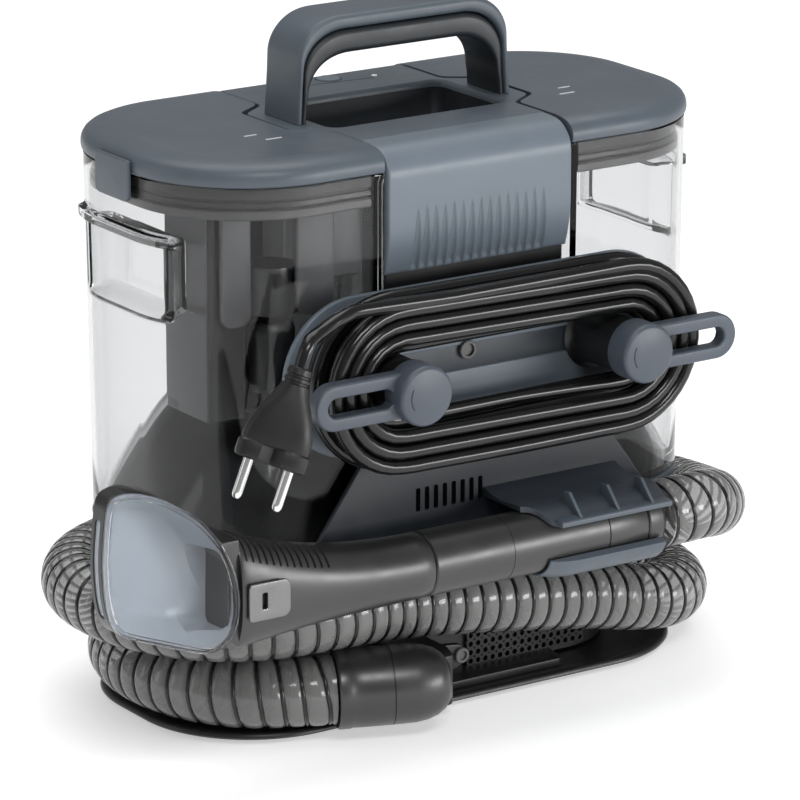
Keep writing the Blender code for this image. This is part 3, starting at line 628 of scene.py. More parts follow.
def tank_ring(side, z, inset, gap, wall):
    """One level of a tank's wall, with its finger recess and grip bar; wall is 0 outside."""
    low, high = RECESS_Z[0] - wall, RECESS_Z[1] + wall
    depth = smoothstep(low - 1, low + 4, z) * (1 - smoothstep(high - 0.9, high, z))
    bar = 0
    if not wall:
        bar = 3.2 * smoothstep(BAR_Z[0] - 0.4, BAR_Z[0] + 0.8, z) * (1 - smoothstep(BAR_Z[1] - 1.2, BAR_Z[1], z))
    ring = []
    for x, y in half_plan(side, inset, gap):
        if abs(x) > 120:
            edge = 1 - smoothstep(RECESS_HY - 2.5 + wall, RECESS_HY + 1.5 + wall, abs(y))
            x -= (x - side * (RECESS_X - wall)) * depth * edge if abs(x) > RECESS_X - wall else 0
            grow = bar * (1 - smoothstep(BAR_HY - 3, BAR_HY, abs(y)))
            x += side * grow * (abs(x) - 89) / 63
            y += grow * y / 63
        ring.append((x, y, z))
    return ring


def dome_ring(side, step, offset_in, lift, gap):
    part = step / SEAT_STEPS
    height = TANK_Z[0] + SEAT_RISE * sin(part * pi / 2) + lift
    return set_flat(half_plan(side, 6 + 28 * part + offset_in, gap, 24 * part), height)


def wall_levels():
    """Heights of a tank's rings, closer together at the recess and the bar."""
    levels = [TANK_Z[0], TANK_Z[0] + 0.8]
    levels += [100 + 10 * i for i in range(10)]
    levels += [203 + 0.7 * i for i in range(13)] + [220, 230, 236]
    levels += [239.5 + 0.35 * i for i in range(30)] + [253, 258, 264, 270]
    return levels


def make_tank(name, side):
    z0, z1 = TANK_Z
    outer_gap, inner_gap = 0.7, 5.4
    rings = [dome_ring(side, k, 0, 0, 8.9) for k in range(SEAT_STEPS, -1, -1)]
    for z in wall_levels():
        inset = 3 - 2 * (z - z0) / (z1 - z0) + (0.8 if z == z0 else 0)
        rings.append(tank_ring(side, z, inset, outer_gap, 0))
    rings.append(tank_ring(side, z1 - 0.6, 1.0, outer_gap, 0))
    rings.append(tank_ring(side, z1, 1.6, outer_gap, 0))
    rings.append(tank_ring(side, z1, 2.7, inner_gap - 0.6, 0))
    for z in [v for v in reversed(wall_levels()) if v > z0 + 5]:
        inset = 5.2 - 2 * (z - z0) / (z1 - z0)
        rings.append(tank_ring(side, z, inset, inner_gap, TANK_WALL))
    rings += [dome_ring(side, k, 0.5, 3.5, 6.9) for k in range(SEAT_STEPS + 1)]
    piece(name + "_clear", loft(rings), CLEAR, name, sharp=40)


def make_seats():
    for end, side in SIDES:
        rings = [dome_ring(side, k, 2, -2 if k else 0, 10.9) for k in range(SEAT_STEPS + 1)]
        piece("seat_%s_dome" % end, loft(rings), SEAT, "seat_" + end)
    for end, side in SIDES:
        profile = [(5.8, 91.7), (15, 80.6), (14.6, 80.3), (11.6, 80.3), (11, 80.7), (7.2, 84.5), (4.4, 88),
                   (2.9, 91), (2.5, 92.4), (2.7, 94.1), (3.5, 94.7), (5.2, 94.6)]
        rings = [set_flat(half_plan(side, inset, 4 if inset in (5.8, 15) else 1), z) for inset, z in profile]
        piece("collar_%s_ring" % end, loft(rings), SLATE, "collar_" + end)


def make_lid(tank, side):
    profile = [(12, 281.9, 4.9), (9.5, 272.4, 4.9), (1.0, 272.4, 0.9), (0.3, 273.0, 0.9), (0, 274.4, 0.9),
               (0.1, 276.6, 0.9), (0.6, 278.4, 0.9), (1.7, 280.2, 0.9), (3.4, 281.6, 0.9),
               (5.8, 282.6, 0.9), (9.5, 283.3, 0.9), (13.5, 283.7, 0.9), (15.5, 283.8, 1.1),
               (17, 283.6, 1.6), (22, 283.4, 2.5)]
    rings = [set_flat(half_plan(side, inset, gap), z) for inset, z, gap in profile]
    piece(tank + "_lid_shell", loft(rings), SLATE, tank + "_lid", sharp=28)
    marks = bmesh.new()
    for dx, dy, length in ((0, 0, 9), (6, 11, 7)):
        x, y = side * (84 + dx), -30 + dy
        outline = rectangle(x - length / 2, x + length / 2, y - 0.5, y + 0.5, 0.4, 3)
        slab(outline, 283.0, 283.7, 0.2, into=marks)
    piece(tank + "_lid_marks", marks, MARK, tank + "_lid", hides=False)
    make_seal(tank, side)
    x0, x1 = sorted((side * 152.4, side * 154.6))
    tab = filleted([(-15, 279, 1.5), (15, 279, 1.5), (15, 259, 4), (-15, 259, 4)])
    piece(tank + "_latch_tab", slab(tab, x0, x1, 0.8, set_across), SLATE, tank + "_latch")


def make_seal(tank, side):
    profile = [(4.1, 272.1), (4.0, 271.7), (4.0, 266.2), (5.0, 265.6), (5.0, 264.9), (4.4, 264.4),
               (4.2, 262.4), (5.2, 261.6), (5.3, 260.9)]
    rings = [set_flat(half_plan(side, inset, 2.2 + inset), z) for inset, z in profile]
    rings += [set_flat(half_plan(side, 7, 9.2), z) for z in (260.9, 272.1)]
    piece(tank + "_seal_ring", loft(rings, closed=True), SEAL, tank + "_seal", sharp=30)
    # the lip is the lighter grey, a painted highlight along the seal's lower band
    profile = [(4.6, 260.8), (4.1, 260.2), (4.0, 257.2), (4.4, 256.5), (7, 256.4), (7, 260.8)]
    rings = [set_flat(half_plan(side, inset, 2.2 + inset), z) for inset, z in profile]
    piece(tank + "_seal_lip", loft(rings, closed=True), SEAL_HIGHLIGHT_AND_SCREW_GREY, tank + "_seal", hides=False, sharp=30)


def make_separator():
    """Hanging screens, a boxed duct, a float guide and a riser tube in the dirty tank."""
    duct = filleted([(-132, -10, 2), (-132, -49.5, 3), (-112.4, -49.5, 2), (-112.4, -39, 2), (-95, -39, 2),
                     (-95, -10, 2)], 4)
    piece("separator_duct", slab(duct, 157, 262, 1.2), SMOKE_DARK, "separator", sharp=30)
    # the duct is the darker grey, and a lighter skin on its left face paints the light that falls on that side
    side = filleted([(-47.5, 260, 1), (-47.5, 157.6, 1), (-23, 157.6, 1), (-22, 162.4, 1),
                     (-11.5, 162.4, 1), (-11.5, 260, 1)], 3)
    skin = slab(side, -132.7, -131.6, 0.4, set_across)
    piece("separator_side_painted_light", skin, SMOKE, "separator", hides=False, sharp=30)
    screens = bmesh.new()
    for x0, x1, bottom, y in ((-128, -112, 203, -54.5), (-96.4, -76.2, 208, -69)):
        radius = (x1 - x0) * 0.35
        outline = filleted([(x0, 262, 2), (x0, bottom, radius, 8), (x1, bottom, radius, 8), (x1, 262, 2)], 3)
        slab(outline, y, y + 3.6, 1.2, set_upright, into=screens)
    slab(rectangle(-76.4, -59.4, 223.4, 262, 2, 3), -67, -63.6, 1.2, set_upright, into=screens)
    piece("separator_screens", screens, SMOKE, "separator", hides=False, sharp=30)
    profile = [(11.4, 208), (11.9, 208), (12.1, 209), (12.1, 230), (11.9, 231), (11.4, 231)]
    guide = lathe(profile, FLOAT_AT, steps=40)
    bore = lathe([(11.3, 200), (11.3, 240)], FLOAT_AT, steps=40)
    cut(piece("separator_guide", guide, SMOKE_DARK, "separator", hides=False), bore)
    profile = [(6, 157), (6.6, 158), (6.6, 221), (7.4, 222), (7.4, 224), (6.6, 224.6), (5, 224), (4.8, 215)]
    tube = lathe(profile, (-85.5, -36, 0), steps=32)
    piece("separator_riser", tube, SMOKE, "separator", hides=False)
    hood = filleted([(-94, 262, 2), (-94, 206, 3), (-80.5, 206, 3), (-80.5, 262, 2)], 3)
    piece("separator_hood", slab(hood, 2, 32, 1.2, set_upright), SMOKE_DARK, "separator", hides=False)
    hook = [(-37, 206), (-37, 180), (-37, 172), (-33, 168), (-27, 169), (-26, 173), (-29, 175)]
    line = rod(set_across(hook, -133), 0.6, 1.5, 6)
    piece("separator_bead", line, BLACK, "separator", hides=False)
    drum = lathe([(9, 170), (10.6, 171), (11, 173), (11, 199), (10.2, 202), (8, 204)], FLOAT_AT, steps=32)
    piece("float_drum", drum, SMOKE_DARK, "float")
    z = TANK_Z[0] + SEAT_RISE + 3.8
    valve = lathe([(6.2, 0), (7, 0.8), (7, 7), (6, 8), (4.4, 9), (4, 11.4), (3, 12)], (86.5, 0, z), steps=32)
    piece("clean_valve_plug", valve, BLACK, "clean_valve")


def make_spine():
    """Fluted near panel, plain far panel, deck with its trough, button and light."""
    crest = DECK_Z
    drops = [(-56, 0), (-62, 0.15), (-67, 0.6), (-70.5, 1.6), (-73.2, 3.2), (-75.6, 5.4), (-77.4, 8),
             (-78.5, 10.6), (-79, 13.2)]
    shoulder = [(y, crest - drop) for y, drop in drops]
    face = [(-79 + 4.6 * max(0, 247 - z) ** 2 / 625, z) for z in range(268, 222, -1)]
    back = [(-73.8, 222.4), (-73.8, 258), (-73.8, crest - 9), (-70, crest - 4), (-56, crest - 3.5)]
    rings = []
    columns = 232
    for i in range(columns + 1):
        x = -SPINE_HX + 2 * SPINE_HX * i / columns
        pull = 0.9 * max(0.0, (abs(x) - SPINE_HX + 0.9) / 0.9) ** 2
        ring = []
        for y, z in shoulder + face:
            y += pull
            if z < 260:
                y = min(-74.2, y + flute_depth(x, z))
            ring.append((x, y, z - pull if z > 276 else z))
        rings.append(ring + [(x, y, z) for y, z in back])
    # the lighter copy of the slate paints the light that falls on this upright face
    piece("rear_panel_fluted", loft(rings), SLATE_LIT, "rear_panel", sharp=50)
    front = [(68, crest - 0.3), (70.5, crest - 1.4), (73, crest - 3), (75.4, crest - 5.4),
             (77.2, crest - 8), (78.4, crest - 10.6), (79, crest - 13.2), (79, 88), (78.6, 85.4),
             (77.4, 84.2), (74, 84), (73.8, 258), (73.8, crest - 9), (70, crest - 4), (68, crest - 3.6)]
    rings = [set_across(front, x) for x in (-SPINE_HX, -SPINE_HX + 0.6, SPINE_HX - 0.6, SPINE_HX)]
    panel = piece("front_panel_skin", loft(rings), SLATE, "front_panel", sharp=30)
    for z in range(118, 149, 6):
        cut(panel, slab(rectangle(-44, 44, z - 0.5, z + 0.5, 0.4, 2), 78.2, 81, 0.1, set_upright))
    make_deck()


def flute_depth(x, z):
    """Upright lens-shaped hollows that run out in a point at their tops."""
    low, high = FLUTE_Z
    if not low - 3 < z < high:
        return 0.0
    nearest = round(x / FLUTE_PITCH)
    if abs(nearest) > FLUTE_COUNT // 2:
        return 0.0
    part = max(0.0, (z - low - 3) / (high - low - 3))
    width = 2.5 * (1 - part ** 1.6)
    if width < 0.05:
        return 0.0
    near = abs(x - nearest * FLUTE_PITCH) / width
    return 1.5 * (1 - part) ** 0.6 * max(0.0, 1 - near ** 2)


def make_deck():
    hx = SPINE_HX
    plan = filleted([(hx, -55.7, 0.8, 3), (hx, -DECK_HY, 7), (LOBE_X, -LOBE_TIP_Y, 7),
                     (LOBE_X, LOBE_TIP_Y, 7), (hx, DECK_HY, 7), (hx, 67.7, 0.8, 3), (-hx, 67.7, 0.8, 3),
                     (-hx, DECK_HY, 7), (-LOBE_X, LOBE_TIP_Y, 7), (-LOBE_X, -LOBE_TIP_Y, 7),
                     (-hx, -DECK_HY, 7), (-hx, -55.7, 0.8, 3)])
    deck = piece("top_deck_skin", slab(plan, 258.3, DECK_Z, 0.5), SLATE, "top_deck", sharp=30)
    trough = rectangle(-50, 50, -28, 30, 6, 8)
    rings = [set_flat(offset(trough, inset), z) for inset, z in
             ((4, 261.7), (1.4, 262.6), (0.3, 265), (0, 281.6), (-0.5, 282.6), (-1.4, 283.6), (-1.6, 290))]
    button = lathe([(6.4, 0), (6.4, 6), (7.2, 6.8), (7.2, 12)], (*BUTTON_AT, 277), steps=40)
    light = lathe([(1.9, 0), (1.9, 12)], (*LIGHT_AT, 279), steps=20)
    dash = filleted([(-11, 53.1, 0.2), (25, 49.6, 0.2), (25, 50.4, 0.2), (-11, 53.9, 0.2)], 2)
    line = slab(dash, 282.6, 285, 0.1)
    cut(deck, loft(rings), button, light, line)
    # dark liner paints the shade that falls inside the trough under the grip
    liner = rectangle(-49.6, 49.6, -27.6, 29.6, 6, 8)
    profile = [(4.2, 262.0), (1.5, 262.9), (0.2, 265.2), (0, 280.4), (0.5, 280.4), (0.7, 265.6), (2, 263.3),
               (4.6, 262.4)]
    rings = [set_flat(offset(liner, inset), z) for inset, z in profile]
    piece("top_deck_trough_painted_shade", loft(rings), SLATE_DARK, "top_deck", hides=False, sharp=30)
    profile = [(5.6, 0), (6.0, 0.4), (6.0, 4.4), (5.6, 5.0), (4.8, 5.3), (3.6, 5.1), (0.4, 4.9)]
    piece("power_button_cap", lathe(profile, (*BUTTON_AT, 279), steps=40), SLATE_LIT, "power_button")
    lens = lathe([(1.6, 0), (1.6, 4.2), (1.2, 4.5), (0.3, 4.6)], (*LIGHT_AT, 279.3), steps=20)
    piece("power_light_lens", lens, LENS, "power_light")


# ---- handle ----
def handle_line(top, spread):
    """Half of the arch in X and Z, from the foot of a leg to the middle of the grip."""
    foot = DECK_Z + 0.3
    shoulder = spread - 26
    points = []
    for i in range(8):
        t = i / 8
        points.append((spread - 1.5 * t, foot + (top - 20 - foot) * t * 0.97))
    for i in range(27):
        angle = radians(6 + 84 * i / 26)
        points.append((shoulder + 24.5 * cos(angle) ** 0.9, top - 20 + 20 * sin(angle)))
    return points + [(-x, z) for x, z in reversed(points)]


def arch(outer, inner, half_y, corner):
    """A strap between two arch lines, with rounded long edges."""
    rings = []
    for (ox, oz), (ix, iz) in zip(outer, inner):
        thick = hypot(ox - ix, oz - iz)
        r = min(corner, thick * 0.45)
        section = filleted([(0, -half_y, r), (thick, -half_y, r), (thick, half_y, r), (0, half_y, r)], 4)
        rings.append([(ix + (ox - ix) * a / thick, y, iz + (oz - iz) * a / thick) for a, y in section])
    return loft(rings)


def make_handle():
    strap = arch(handle_line(333.5, 61), handle_line(326.6, 58.4), 15, 2.6)
    piece("handle_strap", strap, SLATE, "handle_shell", sharp=40)
    pad = arch(handle_line(326.1, 57.9), handle_line(314.6, 55.4), 14.2, 3.0)
    piece("handle_pad", pad, SLATE_DARK, "handle_grip", sharp=40)


# ---- cord bay and skirt ----
def racetrack(hx, radius):
    return arc(hx, HOOK_Z, radius, -90, 90, 24) + arc(-hx, HOOK_Z, radius, 90, 270, 24)


def make_cord_bay():
    # the lighter copy of the slate paints the light that falls on the upright backplate
    plate = frame_slab(racetrack(HOOK_X + 10, 39), racetrack(HOOK_X + 10, 6), -82, -79, 0.9, set_upright)
    piece("cord_backplate_skin", plate, SLATE_LIT, "cord_backplate")
    # dark sheet inside the innermost turn paints the shade among the coil's turns
    infill = slab(racetrack(HOOK_X + 9, 7), -81.2, -79.2, 0.4, set_upright)
    piece("cord_backplate_painted_shade", infill, SLATE_SHADED, "cord_backplate", hides=False)
    for end, side in SIDES:
        profile = [(17, 82.3), (15.6, 82.8), (14.2, 84), (13.5, 86), (13.3, 111.8), (12.8, 112.6)]
        post = lathe(profile, (side * HOOK_X, 0, HOOK_Z), NEAR)
        piece("hook_post_%s_drum" % end, post, BLACK, "hook_post_" + end)
        make_hook("cord_hook_" + end, side)
    profile = [(3.7, 0), (4.1, 0.4), (4.1, 3.4), (3.4, 4)]
    for i in range(3):
        start, radius = 5.4 + 4.6 * i, 4.0 - 0.1 * i
        profile += [(3.4, start), (radius, start + 0.6), (radius, start + 2.6), (3.4, start + 3.2)]
    exit_x, exit_y, exit_z = CORD_LEAD[0]
    gland = lathe(profile + [(3.6, 24)], (exit_x + 24.4, exit_y, exit_z), (-1, 0, 0), 32)
    piece("cord_gland_sleeve", gland, RUBBER, "cord_gland")
    profile = [(4.6, 0), (4.6, 1.6), (4.2, 2.0), (3.2, 2.0), (3.1, 0.6), (0.4, 0.6)]
    boss = lathe(profile, (-10, -81.6, 182), NEAR, 40)
    piece("cord_bay_screw", boss, SEAL_HIGHLIGHT_AND_SCREW_GREY, "cord_backplate", hides=False)


def make_hook(name, side):
    reach = 45.5
    loop = arc(reach, 0, 11, -90, 90, 16) + arc(0, 0, 11, 90, 270, 16)
    slot = arc(reach - 0.6, 0, 4.6, -90, 90, 16) + arc(18, 0, 4.6, 90, 270, 16)
    outer = [(side * (x + HOOK_X), z + HOOK_Z) for x, z in loop]
    inner = [(side * (x + HOOK_X), z + HOOK_Z) for x, z in slot]
    arm = frame_slab(outer, inner, -121, -113, 1.3, set_upright)
    piece(name + "_arm", arm, SLATE_HOOK, name, sharp=40)
    profile = [(13.4, 112.9), (14.5, 113.8), (14.5, 125.4), (14.3, 126.4), (13.6, 127.4), (12.6, 127.9),
               (1, 128)]
    cap = lathe(profile, (side * HOOK_X, 0, HOOK_Z), NEAR, 64)
    piece(name + "_cap", cap, SLATE_HOOK, name, hides=False)
    bend = [(side * HOOK_X + x, -127.95, HOOK_Z + z) for x, z in arc(0, 0, 9, 150, 215, 12)]
    mark = rod(bend, 0.28, 1.0, 6)
    piece(name + "_mark", mark, SLATE_DARK, name, hides=False)


def make_skirt():
    """Slate panel below the cord bay with its row of vents, and the two wand cradles."""
    outline = filleted([(-67, 138.6, 3), (-97.4, 96, 4), (-102.4, 80.6, 2), (-2, 80.6, 1.5), (2, 74.4, 1.5),
                        (103.4, 74.4, 2), (97.4, 96, 4), (67, 138.6, 3)], 5)
    # the darkest copy of the slate paints the shade that falls on this panel under the coil
    skin = slab(outline, -82, -79.1, 0.9, set_upright)
    panel = piece("lower_panel_skin", skin, SLATE_SKIRT_SHADED, "lower_panel", sharp=30)
    for i in range(8):
        x = -39 + 5.1 * i
        cut(panel, slab(rectangle(x, x + 2.6, 106.6, 118.2, 0.9, 3), -90, -70, 0.05, set_upright))
    inner, outer = WAND_R + 0.8, WAND_R + 3.3

    def wrap(radius, start, end):
        return arc(WAND_Y, WAND_Z, radius, start, end, 20)

    top = WAND_Z + outer
    rings = []
    cover_at = [(0, 0), (2, 0.05), (4, 0.15), (6.5, 0.4), (9, 0.75), (11, 0.92), (13.5, 1), (76.4, 1),
                (77, 1)]
    for x, cover in cover_at:
        stop = 96 + 46 * cover
        ring = wrap(outer, stop, 92)
        ring += [(-96, top - 1), (-88, top), (-84, top + 1.4), (-82.4, top + 2), (-82.4, WAND_Z + inner)]
        ring += wrap(inner, 92, stop + 3)
        rings.append(set_across(ring, x))
    # the darker copy of the slate paints the shade on the saddle, low under the body
    piece("cradle_upper_saddle", loft(rings), SLATE_SHADED, "cradle_upper", sharp=40)
    lip = bmesh.new()
    y, z = wrap(outer, 142, 0)[0]
    ledge = filleted([(y - 4.6, z - 1.4, 0.9), (y - 4.6, z + 1.4, 0.9), (y + 5, z + 2.2, 0.6),
                      (y + 2, z - 1.6, 0.6)], 3)
    slab(ledge, 12.5, 77, 0.5, set_across, into=lip)
    for x in (24, 46, 66):
        rib = [(y - 3.6, z + 0.8, 0.6), (y + 7, z + 11.6, 0.8), (y + 12, z + 11, 0.8), (y + 12, z + 4, 0.6),
               (y + 2, z, 0.6)]
        slab(filleted(rib, 2), x, x + 1.8, 0.5, set_across, into=lip)
    piece("cradle_upper_lip", lip, SLATE, "cradle_upper", hides=False)
    rings = []
    for x, drop in ((8.4, 0.12), (11, 0.35), (16, 0.7), (22, 0.95), (28, 1.0), (74.4, 1.0)):
        ring = wrap(inner + 0.4 + 3.4 * drop, 202, 296)
        ring += [(-82.4, 76.4), (-82.4, 84)] + wrap(inner, 318, 202)
        rings.append(set_across(ring, x))
    piece("cradle_lower_ledge", loft(rings), SLATE, "cradle_lower", sharp=40)


# ---- wand and nozzle ----
def seam(at, radius, depth=0.5, width=0.35):
    """Profile of a fine groove round a turned part."""
    low = radius - depth
    return [(radius, at - width), (low, at - width * 0.4), (low, at + width * 0.4), (radius, at + width)]


def make_wand():
    centre = (0, WAND_Y, WAND_Z)
    profile = [(WAND_R - 0.6, -55.9), (WAND_R + 0.2, -55.2)] + seam(-12, WAND_R + 0.15, 0.25, 0.25)
    profile += seam(43.6, WAND_R, 0.5) + [(WAND_R, 65.6), (WAND_R - 0.6, 66.6)]
    piece("wand_tube_shell", lathe(profile, centre, (1, 0, 0), 64), SATIN, "wand_tube", sharp=40)
    profile = [(WAND_R - 0.6, 67), (WAND_R, 67.7), (WAND_R - 0.2, 75), (WAND_R - 0.8, 76.6),
               (WAND_R - 2.4, 77.8)]
    piece("wand_end_cuff_shell", lathe(profile, centre, (1, 0, 0), 64), SATIN, "wand_end_cuff", sharp=40)

    def section(x, half_y, half_z, z, power=1.0):
        return [(x, WAND_Y + y, z + rise) for y, rise in squared_oval(half_y, half_z, power, 64)]

    def flare(t, swell):
        """Section of the neck, which grows from the wand (t = 0) to the nozzle (t = 1)."""
        grow = t ** 2.2
        radius = 15.6 + swell
        return section(-57.2 - 104.8 * t, radius + 1.2 * t, radius + 12.2 * grow, WAND_Z + 7.5 * grow,
                       1 - 0.25 * grow)

    rings = [section(-56.4, 15.0, 15.0, WAND_Z), section(-57.2, 15.6, 15.6, WAND_Z)]
    rings += [flare(i / 16, 0) for i in range(1, 17)]
    rings.append(section(-163.3, 16.2, 27.4, WAND_Z + 7.5, 0.75))
    piece("nozzle_neck", loft(rings), SATIN, "nozzle_body", sharp=40)
    cheek = filleted([(-173.2, 126.2, 0.8), (-170, 120.2, 4), (-166.8, 111.6, 6), (-164.8, 98, 6),
                      (-166.2, 87, 4), (-170.4, 80.2, 0.8), (-162.6, 74.6, 0.8), (-162.6, 126.4, 0.8)], 4)
    filler = slab(cheek, -122.6, -97.4, 0.6, set_upright)
    piece("nozzle_cheek", filler, SATIN, "nozzle_body", hides=False, sharp=40)
    ridges = bmesh.new()
    for i in range(13):
        rod(flare(0.55 + 0.43 * i / 12, 0.3)[18:27], 0.45, 2.0, 6, into=ridges)
    piece("nozzle_ridges", ridges, BLACK, "nozzle_body", hides=False)
    latch = frame_slab(filleted([(-161.6, 88, 2), (-139.4, 88, 4), (-139.4, 106, 4), (-161.6, 106, 2)], 6),
                       rectangle(-154.6, -151.8, 93.5, 101, 0.8), -129.5, -127.7, 0.6, set_upright)
    piece("nozzle_latch_plate", latch, SILVER, "nozzle_latch", sharp=30)
    key = filleted([(-44.6, 84.6, 2.5), (-12.4, 84.6, 5), (-12.4, 98.4, 5), (-44.6, 98.4, 2.5)], 6)
    piece("spray_trigger_pad", slab(key, -92.2, -89.2, 1.0, set_upright), SLATE_DARK, "spray_trigger")


def nozzle_outline():
    """Smooth D-shaped outline in X and Z: a bowed mouth on the left, round towards the wand."""
    points = [(-228.6, 159.2), (-221, 159.2), (-210, 156), (-198, 149.6), (-184.6, 139.6), (-174, 126.6),
              (-167.4, 111.6), (-165.4, 98), (-166.8, 87), (-171.4, 79.6), (-178, 76.6), (-186, 77.4),
              (-205, 84.4), (-222, 91), (-229, 95.2), (-233.2, 102.4), (-235.4, 114), (-236, 130),
              (-234.2, 149), (-232.4, 156.4)]
    around = [Vector(point) for point in points[-1:] + points + points[:2]]
    return [tuple(cubic(*around[i:i + 4], k / 5)) for i in range(len(points)) for k in range(5)]


def make_nozzle():
    outline = nozzle_outline()
    middle = Vector((-200, 116))

    def shrunk(share, y):
        ring = []
        for x, z in outline:
            x = middle.x + (x - middle.x) * share
            thin = 1 - 0.66 * smoothstep(185, 236, -x)
            ring.append((x, -124.3 + (y + 124.3) * thin, middle.y + (z - middle.y) * share))
        return ring

    profile = [(0.99, -95), (1, -96), (1, -123.4), (0.995, -124), (0.982, -124), (0.978, -123),
               (0.978, -95)]
    wall = loft([shrunk(*level) for level in profile], closed=True)
    shell = piece("nozzle_shell", wall, SMOKE_DARK, "nozzle_head", hides=False, sharp=50)
    profile = [(0.5, -95.2), (0.96, -95.2), (0.974, -96), (0.974, -123.4), (0.968, -123.9), (0.958, -123.4),
               (0.95, -121), (0.93, -118.4), (0.83, -111.4), (0.74, -104.6), (0.70, -102.4), (0.65, -101.3),
               (0.58, -100.9), (0.45, -100.7), (0.2, -100.7), (0.05, -100.7)]
    dish = piece("nozzle_dish", loft([shrunk(*level) for level in profile]), PALE, "nozzle_head", sharp=50)
    for part in (dish, shell):
        mouth = slab(rectangle(-121.6, -117, 101, 148, 2, 4), -250, -222, 0.1, set_across)
        cut(part, mouth)
    cut(dish, slab(rectangle(-121, -101.5, 84, 122, 4, 4), -184, -150, 0.1, set_across))
    # black plate inside the opening at the dish's right end paints the shade of the duct beyond it
    tunnel = loft([set_across(rectangle(-121.6, -100.8, 83, 123, 4, 4), x) for x in (-169.4, -168.4)])
    piece("nozzle_throat_painted_shade", tunnel, RUBBER, "nozzle_head", hides=False)
    plate = frame_slab(outline, offset(outline, 2.6), -127.5, -124.3, 0.7, set_upright)
    piece("nozzle_cover_rim", plate, CLEAR_SMOKE, "nozzle_cover", sharp=40)
    window = slab(offset(outline, 2.7), -126.4, -125.2, 0.3, set_upright)
    piece("nozzle_cover_window", window, CLEAR_COVER, "nozzle_cover", hides=False, sharp=40)


# ---- base ----
def make_base():
    profile = [(2.4, 2.5), (0.8, 2.8), (0, 3.8), (0.2, 4.9), (1.0, 5.7), (2.2, 6.0), (3.4, 5.8), (4.4, 5.2),
               (8, 5.1)]
    rings = [set_flat(rounded(148 - inset, 73 - inset, 60 - inset, 24), z) for inset, z in profile]
    piece("base_tray", loft(rings), BLACK, "base_pan")
    plinth = filleted([(-44, -64, 3), (60, -64, 3), (64, -46, 2), (-44, -46, 2)], 6)
    piece("base_plinth", slab(plinth, 5, 9.4, 0.8), BLACK, "base_pan", hides=False)
    piece("service_cover", slab(rounded(60, 30, 6, 6), 1, 2.2, 0.4), BLACK, "service_plate")
    for end, side in SIDES:
        for row, y in (("near", -42), ("far", 42)):
            name = "foot_%s_%s" % (end, row)
            pad = lathe([(8.4, 0), (9.2, 0.3), (9.8, 1.2), (9.8, 2.2)], (side * 106, y, 0), steps=32)
            piece(name + "_pad", pad, RUBBER, name)

    def ring(t, inset, z):
        hx, hy, radius = 118 + 10 * t, 46 + 12 * t, 43 + 7 * t
        return set_flat(rounded(hx - inset, hy - inset, radius - inset, 20), z)

    rings = [ring(1, 2.5, 78), ring(0, 2.5, 66), ring(0, 2.5, 6.3), ring(0, 0, 6.3)]
    rings += [ring((i / 10) ** 2, 0, 62 + 17.4 * i / 10) for i in range(11)]
    rings.append(ring(1, 0.6, 80))
    piece("base_waist", loft(rings), BLACK, "base_housing")
    make_grille()
    outline = filleted([(-40, -46.3, 1.4), (-14, -46.3, 1.4), (-14, -72, 3), (-18, -84, 4), (-26, -84, 4),
                        (-40, -62, 6)], 5)
    piece("hose_port_block", slab(outline, 6.3, 32, 1.2), BLACK, "hose_port", sharp=30)
    tab = filleted([(-15, 14, 1.4), (-3, 18.4, 1.4), (1.6, 24, 5), (-3, 29.6, 5), (-15, 31, 1.4)], 5)
    plate = slab(tab, -67.6, -64.4, 0.8, set_upright)
    piece("hose_port_tab", plate, BLACK, "hose_port", hides=False, sharp=30)
    profile = [(3.9, 0), (3.9, 1.6), (3.5, 2.0), (2.5, 2.0), (2.4, 0.8), (0.4, 0.8)]
    boss = lathe(profile, (-3, -67.4, 24), NEAR, 28)
    piece("hose_port_screw", boss, SEAL_HIGHLIGHT_AND_SCREW_GREY, "hose_port", hides=False)
    piece("spine_core", spine_core(), BLACK, "spine_tower")


def spine_core():
    outer = rounded(51.5, 73.5, 2, 3)
    inner = rounded(48.5, 70.5, 2, 3)
    return loft([set_flat(inner, 83.3), set_flat(inner, 257.7), set_flat(outer, 257.7), set_flat(outer, 80.3)])


def make_grille():
    """Plate with rows of round holes that run through it."""
    low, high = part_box("intake_grille")
    x0, x1, z0, z1 = (v / MM for v in (low.x, high.x, low.z, high.z))
    across, up = 16, 5
    cell_x, cell_z = (x1 - x0) / across, (z1 - z0) / up
    front, back = low.y / MM, high.y / MM
    bm = bmesh.new()
    for i in range(across):
        for j in range(up):
            cx, cz = x0 + cell_x * (i + 0.5), z0 + cell_z * (j + 0.5)
            square, circle = [], []
            for k in range(16):
                a = 2 * pi * (k + 0.5) / 16
                c, s = cos(a), sin(a)
                reach = 1 / max(abs(c), abs(s))
                square.append((cx + cell_x / 2 * c * reach, cz + cell_z / 2 * s * reach))
                circle.append((cx + 1.35 * c, cz + 1.35 * s))
            loops = [[bm.verts.new(Vector((x, y, z)) * MM) for x, z in ring]
                     for ring, y in ((square, front), (circle, front), (circle, back))]
            for a, b in zip(loops[:-1], loops[1:]):
                for k in range(16):
                    m = (k + 1) % 16
                    bm.faces.new((a[k], a[m], b[m], b[k]))
    bmesh.ops.remove_doubles(bm, verts=bm.verts, dist=0.00002)
    piece("intake_grille_plate", bm, BLACK, "intake_grille", sharp=30)


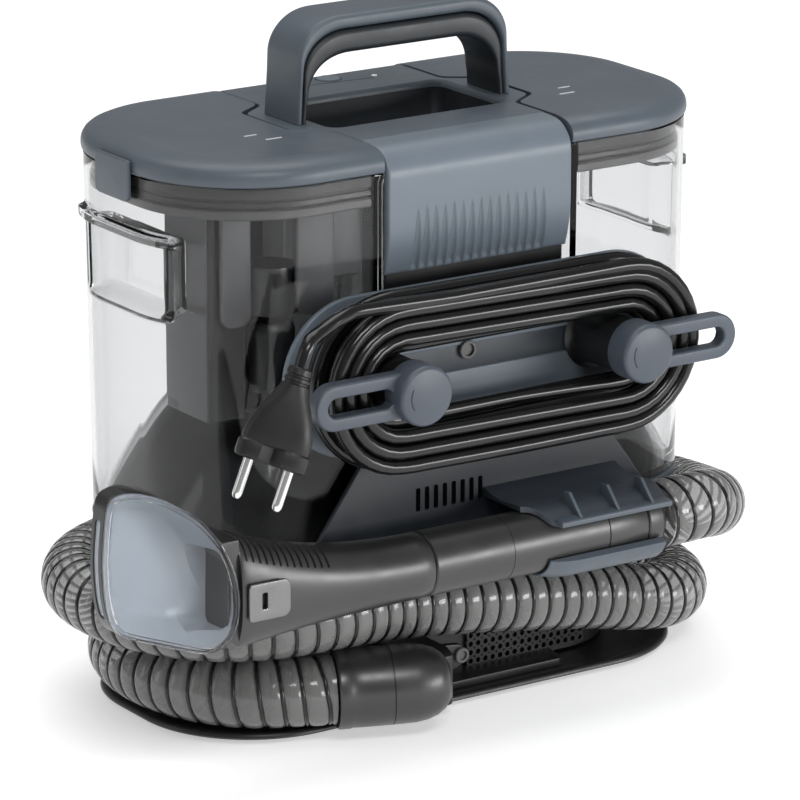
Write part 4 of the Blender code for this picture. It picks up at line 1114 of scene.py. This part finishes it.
def make_cuff():
    mouth, back = Vector((-30, -99, 26)), Vector((-82, -76, 24.6))
    profile = [(3, 0), (9, 1.2), (13.4, 4), (16.2, 8), (18.0, 13), (18.9, 19)]
    profile += seam(30, 19.1)
    profile += [(19.1, 44), (18.9, 49.4), (19.3, 50.2), (19.3, 55.4), (18.6, 56.2), (15, 56.3)]
    shell = lathe(profile, mouth, (back - mouth).normalized(), 64)
    piece("hose_cuff_shell", shell, SATIN, "hose_cuff", sharp=40)


def paint_inner_nodes():
    """Pieces inside the housing keep their CAD shapes."""
    inner = {"vacuum_motor": STEEL, "fan_impeller": BLACK, "water_pump": BLACK, "circuit_board": BOARD}
    for name, mat in inner.items():
        mesh = frame["nodes"][name].data
        mesh.materials.clear()
        mesh.materials.append(mat)


# ---- studio ----
def make_camera():
    azimuth, elevation = radians(CAMERA_AZIMUTH), radians(CAMERA_ELEVATION)
    target = Vector(CAMERA_TARGET) * MM
    outward = Vector((sin(azimuth) * cos(elevation), -cos(azimuth) * cos(elevation),
                      sin(elevation)))
    data = bpy.data.cameras.new("camera")
    data.lens = CAMERA_LENS
    data.sensor_width = 36
    data.clip_end = 50
    camera = add_object("camera", data)
    camera.location = target + outward * CAMERA_DISTANCE * MM
    camera.rotation_euler = (-outward).to_track_quat("-Z", "Y").to_euler()
    bpy.context.scene.camera = camera


def area_light(name, place, size, power):
    data = bpy.data.lights.new(name, "AREA")
    data.shape = "RECTANGLE"
    data.size, data.size_y = size
    data.energy = power
    light = add_object(name, data)
    light.location = place
    light.rotation_euler = (Vector(LIGHT_TARGET) * MM - Vector(place)).to_track_quat("-Z", "Y").to_euler()


def make_studio():
    bm = bmesh.new()
    bmesh.ops.create_grid(bm, x_segments=8, y_segments=8, size=8.0)
    mesh = to_mesh(bm)
    floor_mat = plastic("floor", (0.88, 0.88, 0.88), 0.9, grain=0.02, mottle=0.004)
    shader = floor_mat.node_tree.nodes["Principled BSDF"]
    set_inputs(shader, Emission_Color=(1, 1, 1, 1), Emission_Strength=FLOOR_GLOW)
    mesh.materials.append(floor_mat)
    floor = add_object("floor", mesh)
    world = bpy.data.worlds.new("studio")
    world.use_nodes = True
    set_inputs(world.node_tree.nodes["Background"], Color=(1, 1, 1, 1), Strength=SKY)
    bpy.context.scene.world = world
    area_light("key", (-0.7, -2.2, 2.3), (1.3, 0.6), 26)
    area_light("rim", (-2.2, 0.9, 0.9), (0.6, 1.4), 4)
    area_light("front", (1.25, -2.2, 0.42), (1.7, 0.5), 29)
    area_light("top", (0.1, 0.5, 2.6), (2.6, 2.2), 40)
    bpy.context.scene.view_settings.view_transform = "Standard"


def main():
    make_camera()
    make_cord()
    make_hose()
    make_tank("dirty_tank", -1)
    make_tank("clean_tank", 1)
    make_lid("dirty_tank", -1)
    make_lid("clean_tank", 1)
    make_seats()
    make_separator()
    make_spine()
    make_handle()
    make_cord_bay()
    make_skirt()
    make_wand()
    make_nozzle()
    make_base()
    make_cuff()
    paint_inner_nodes()
    make_studio()


main()
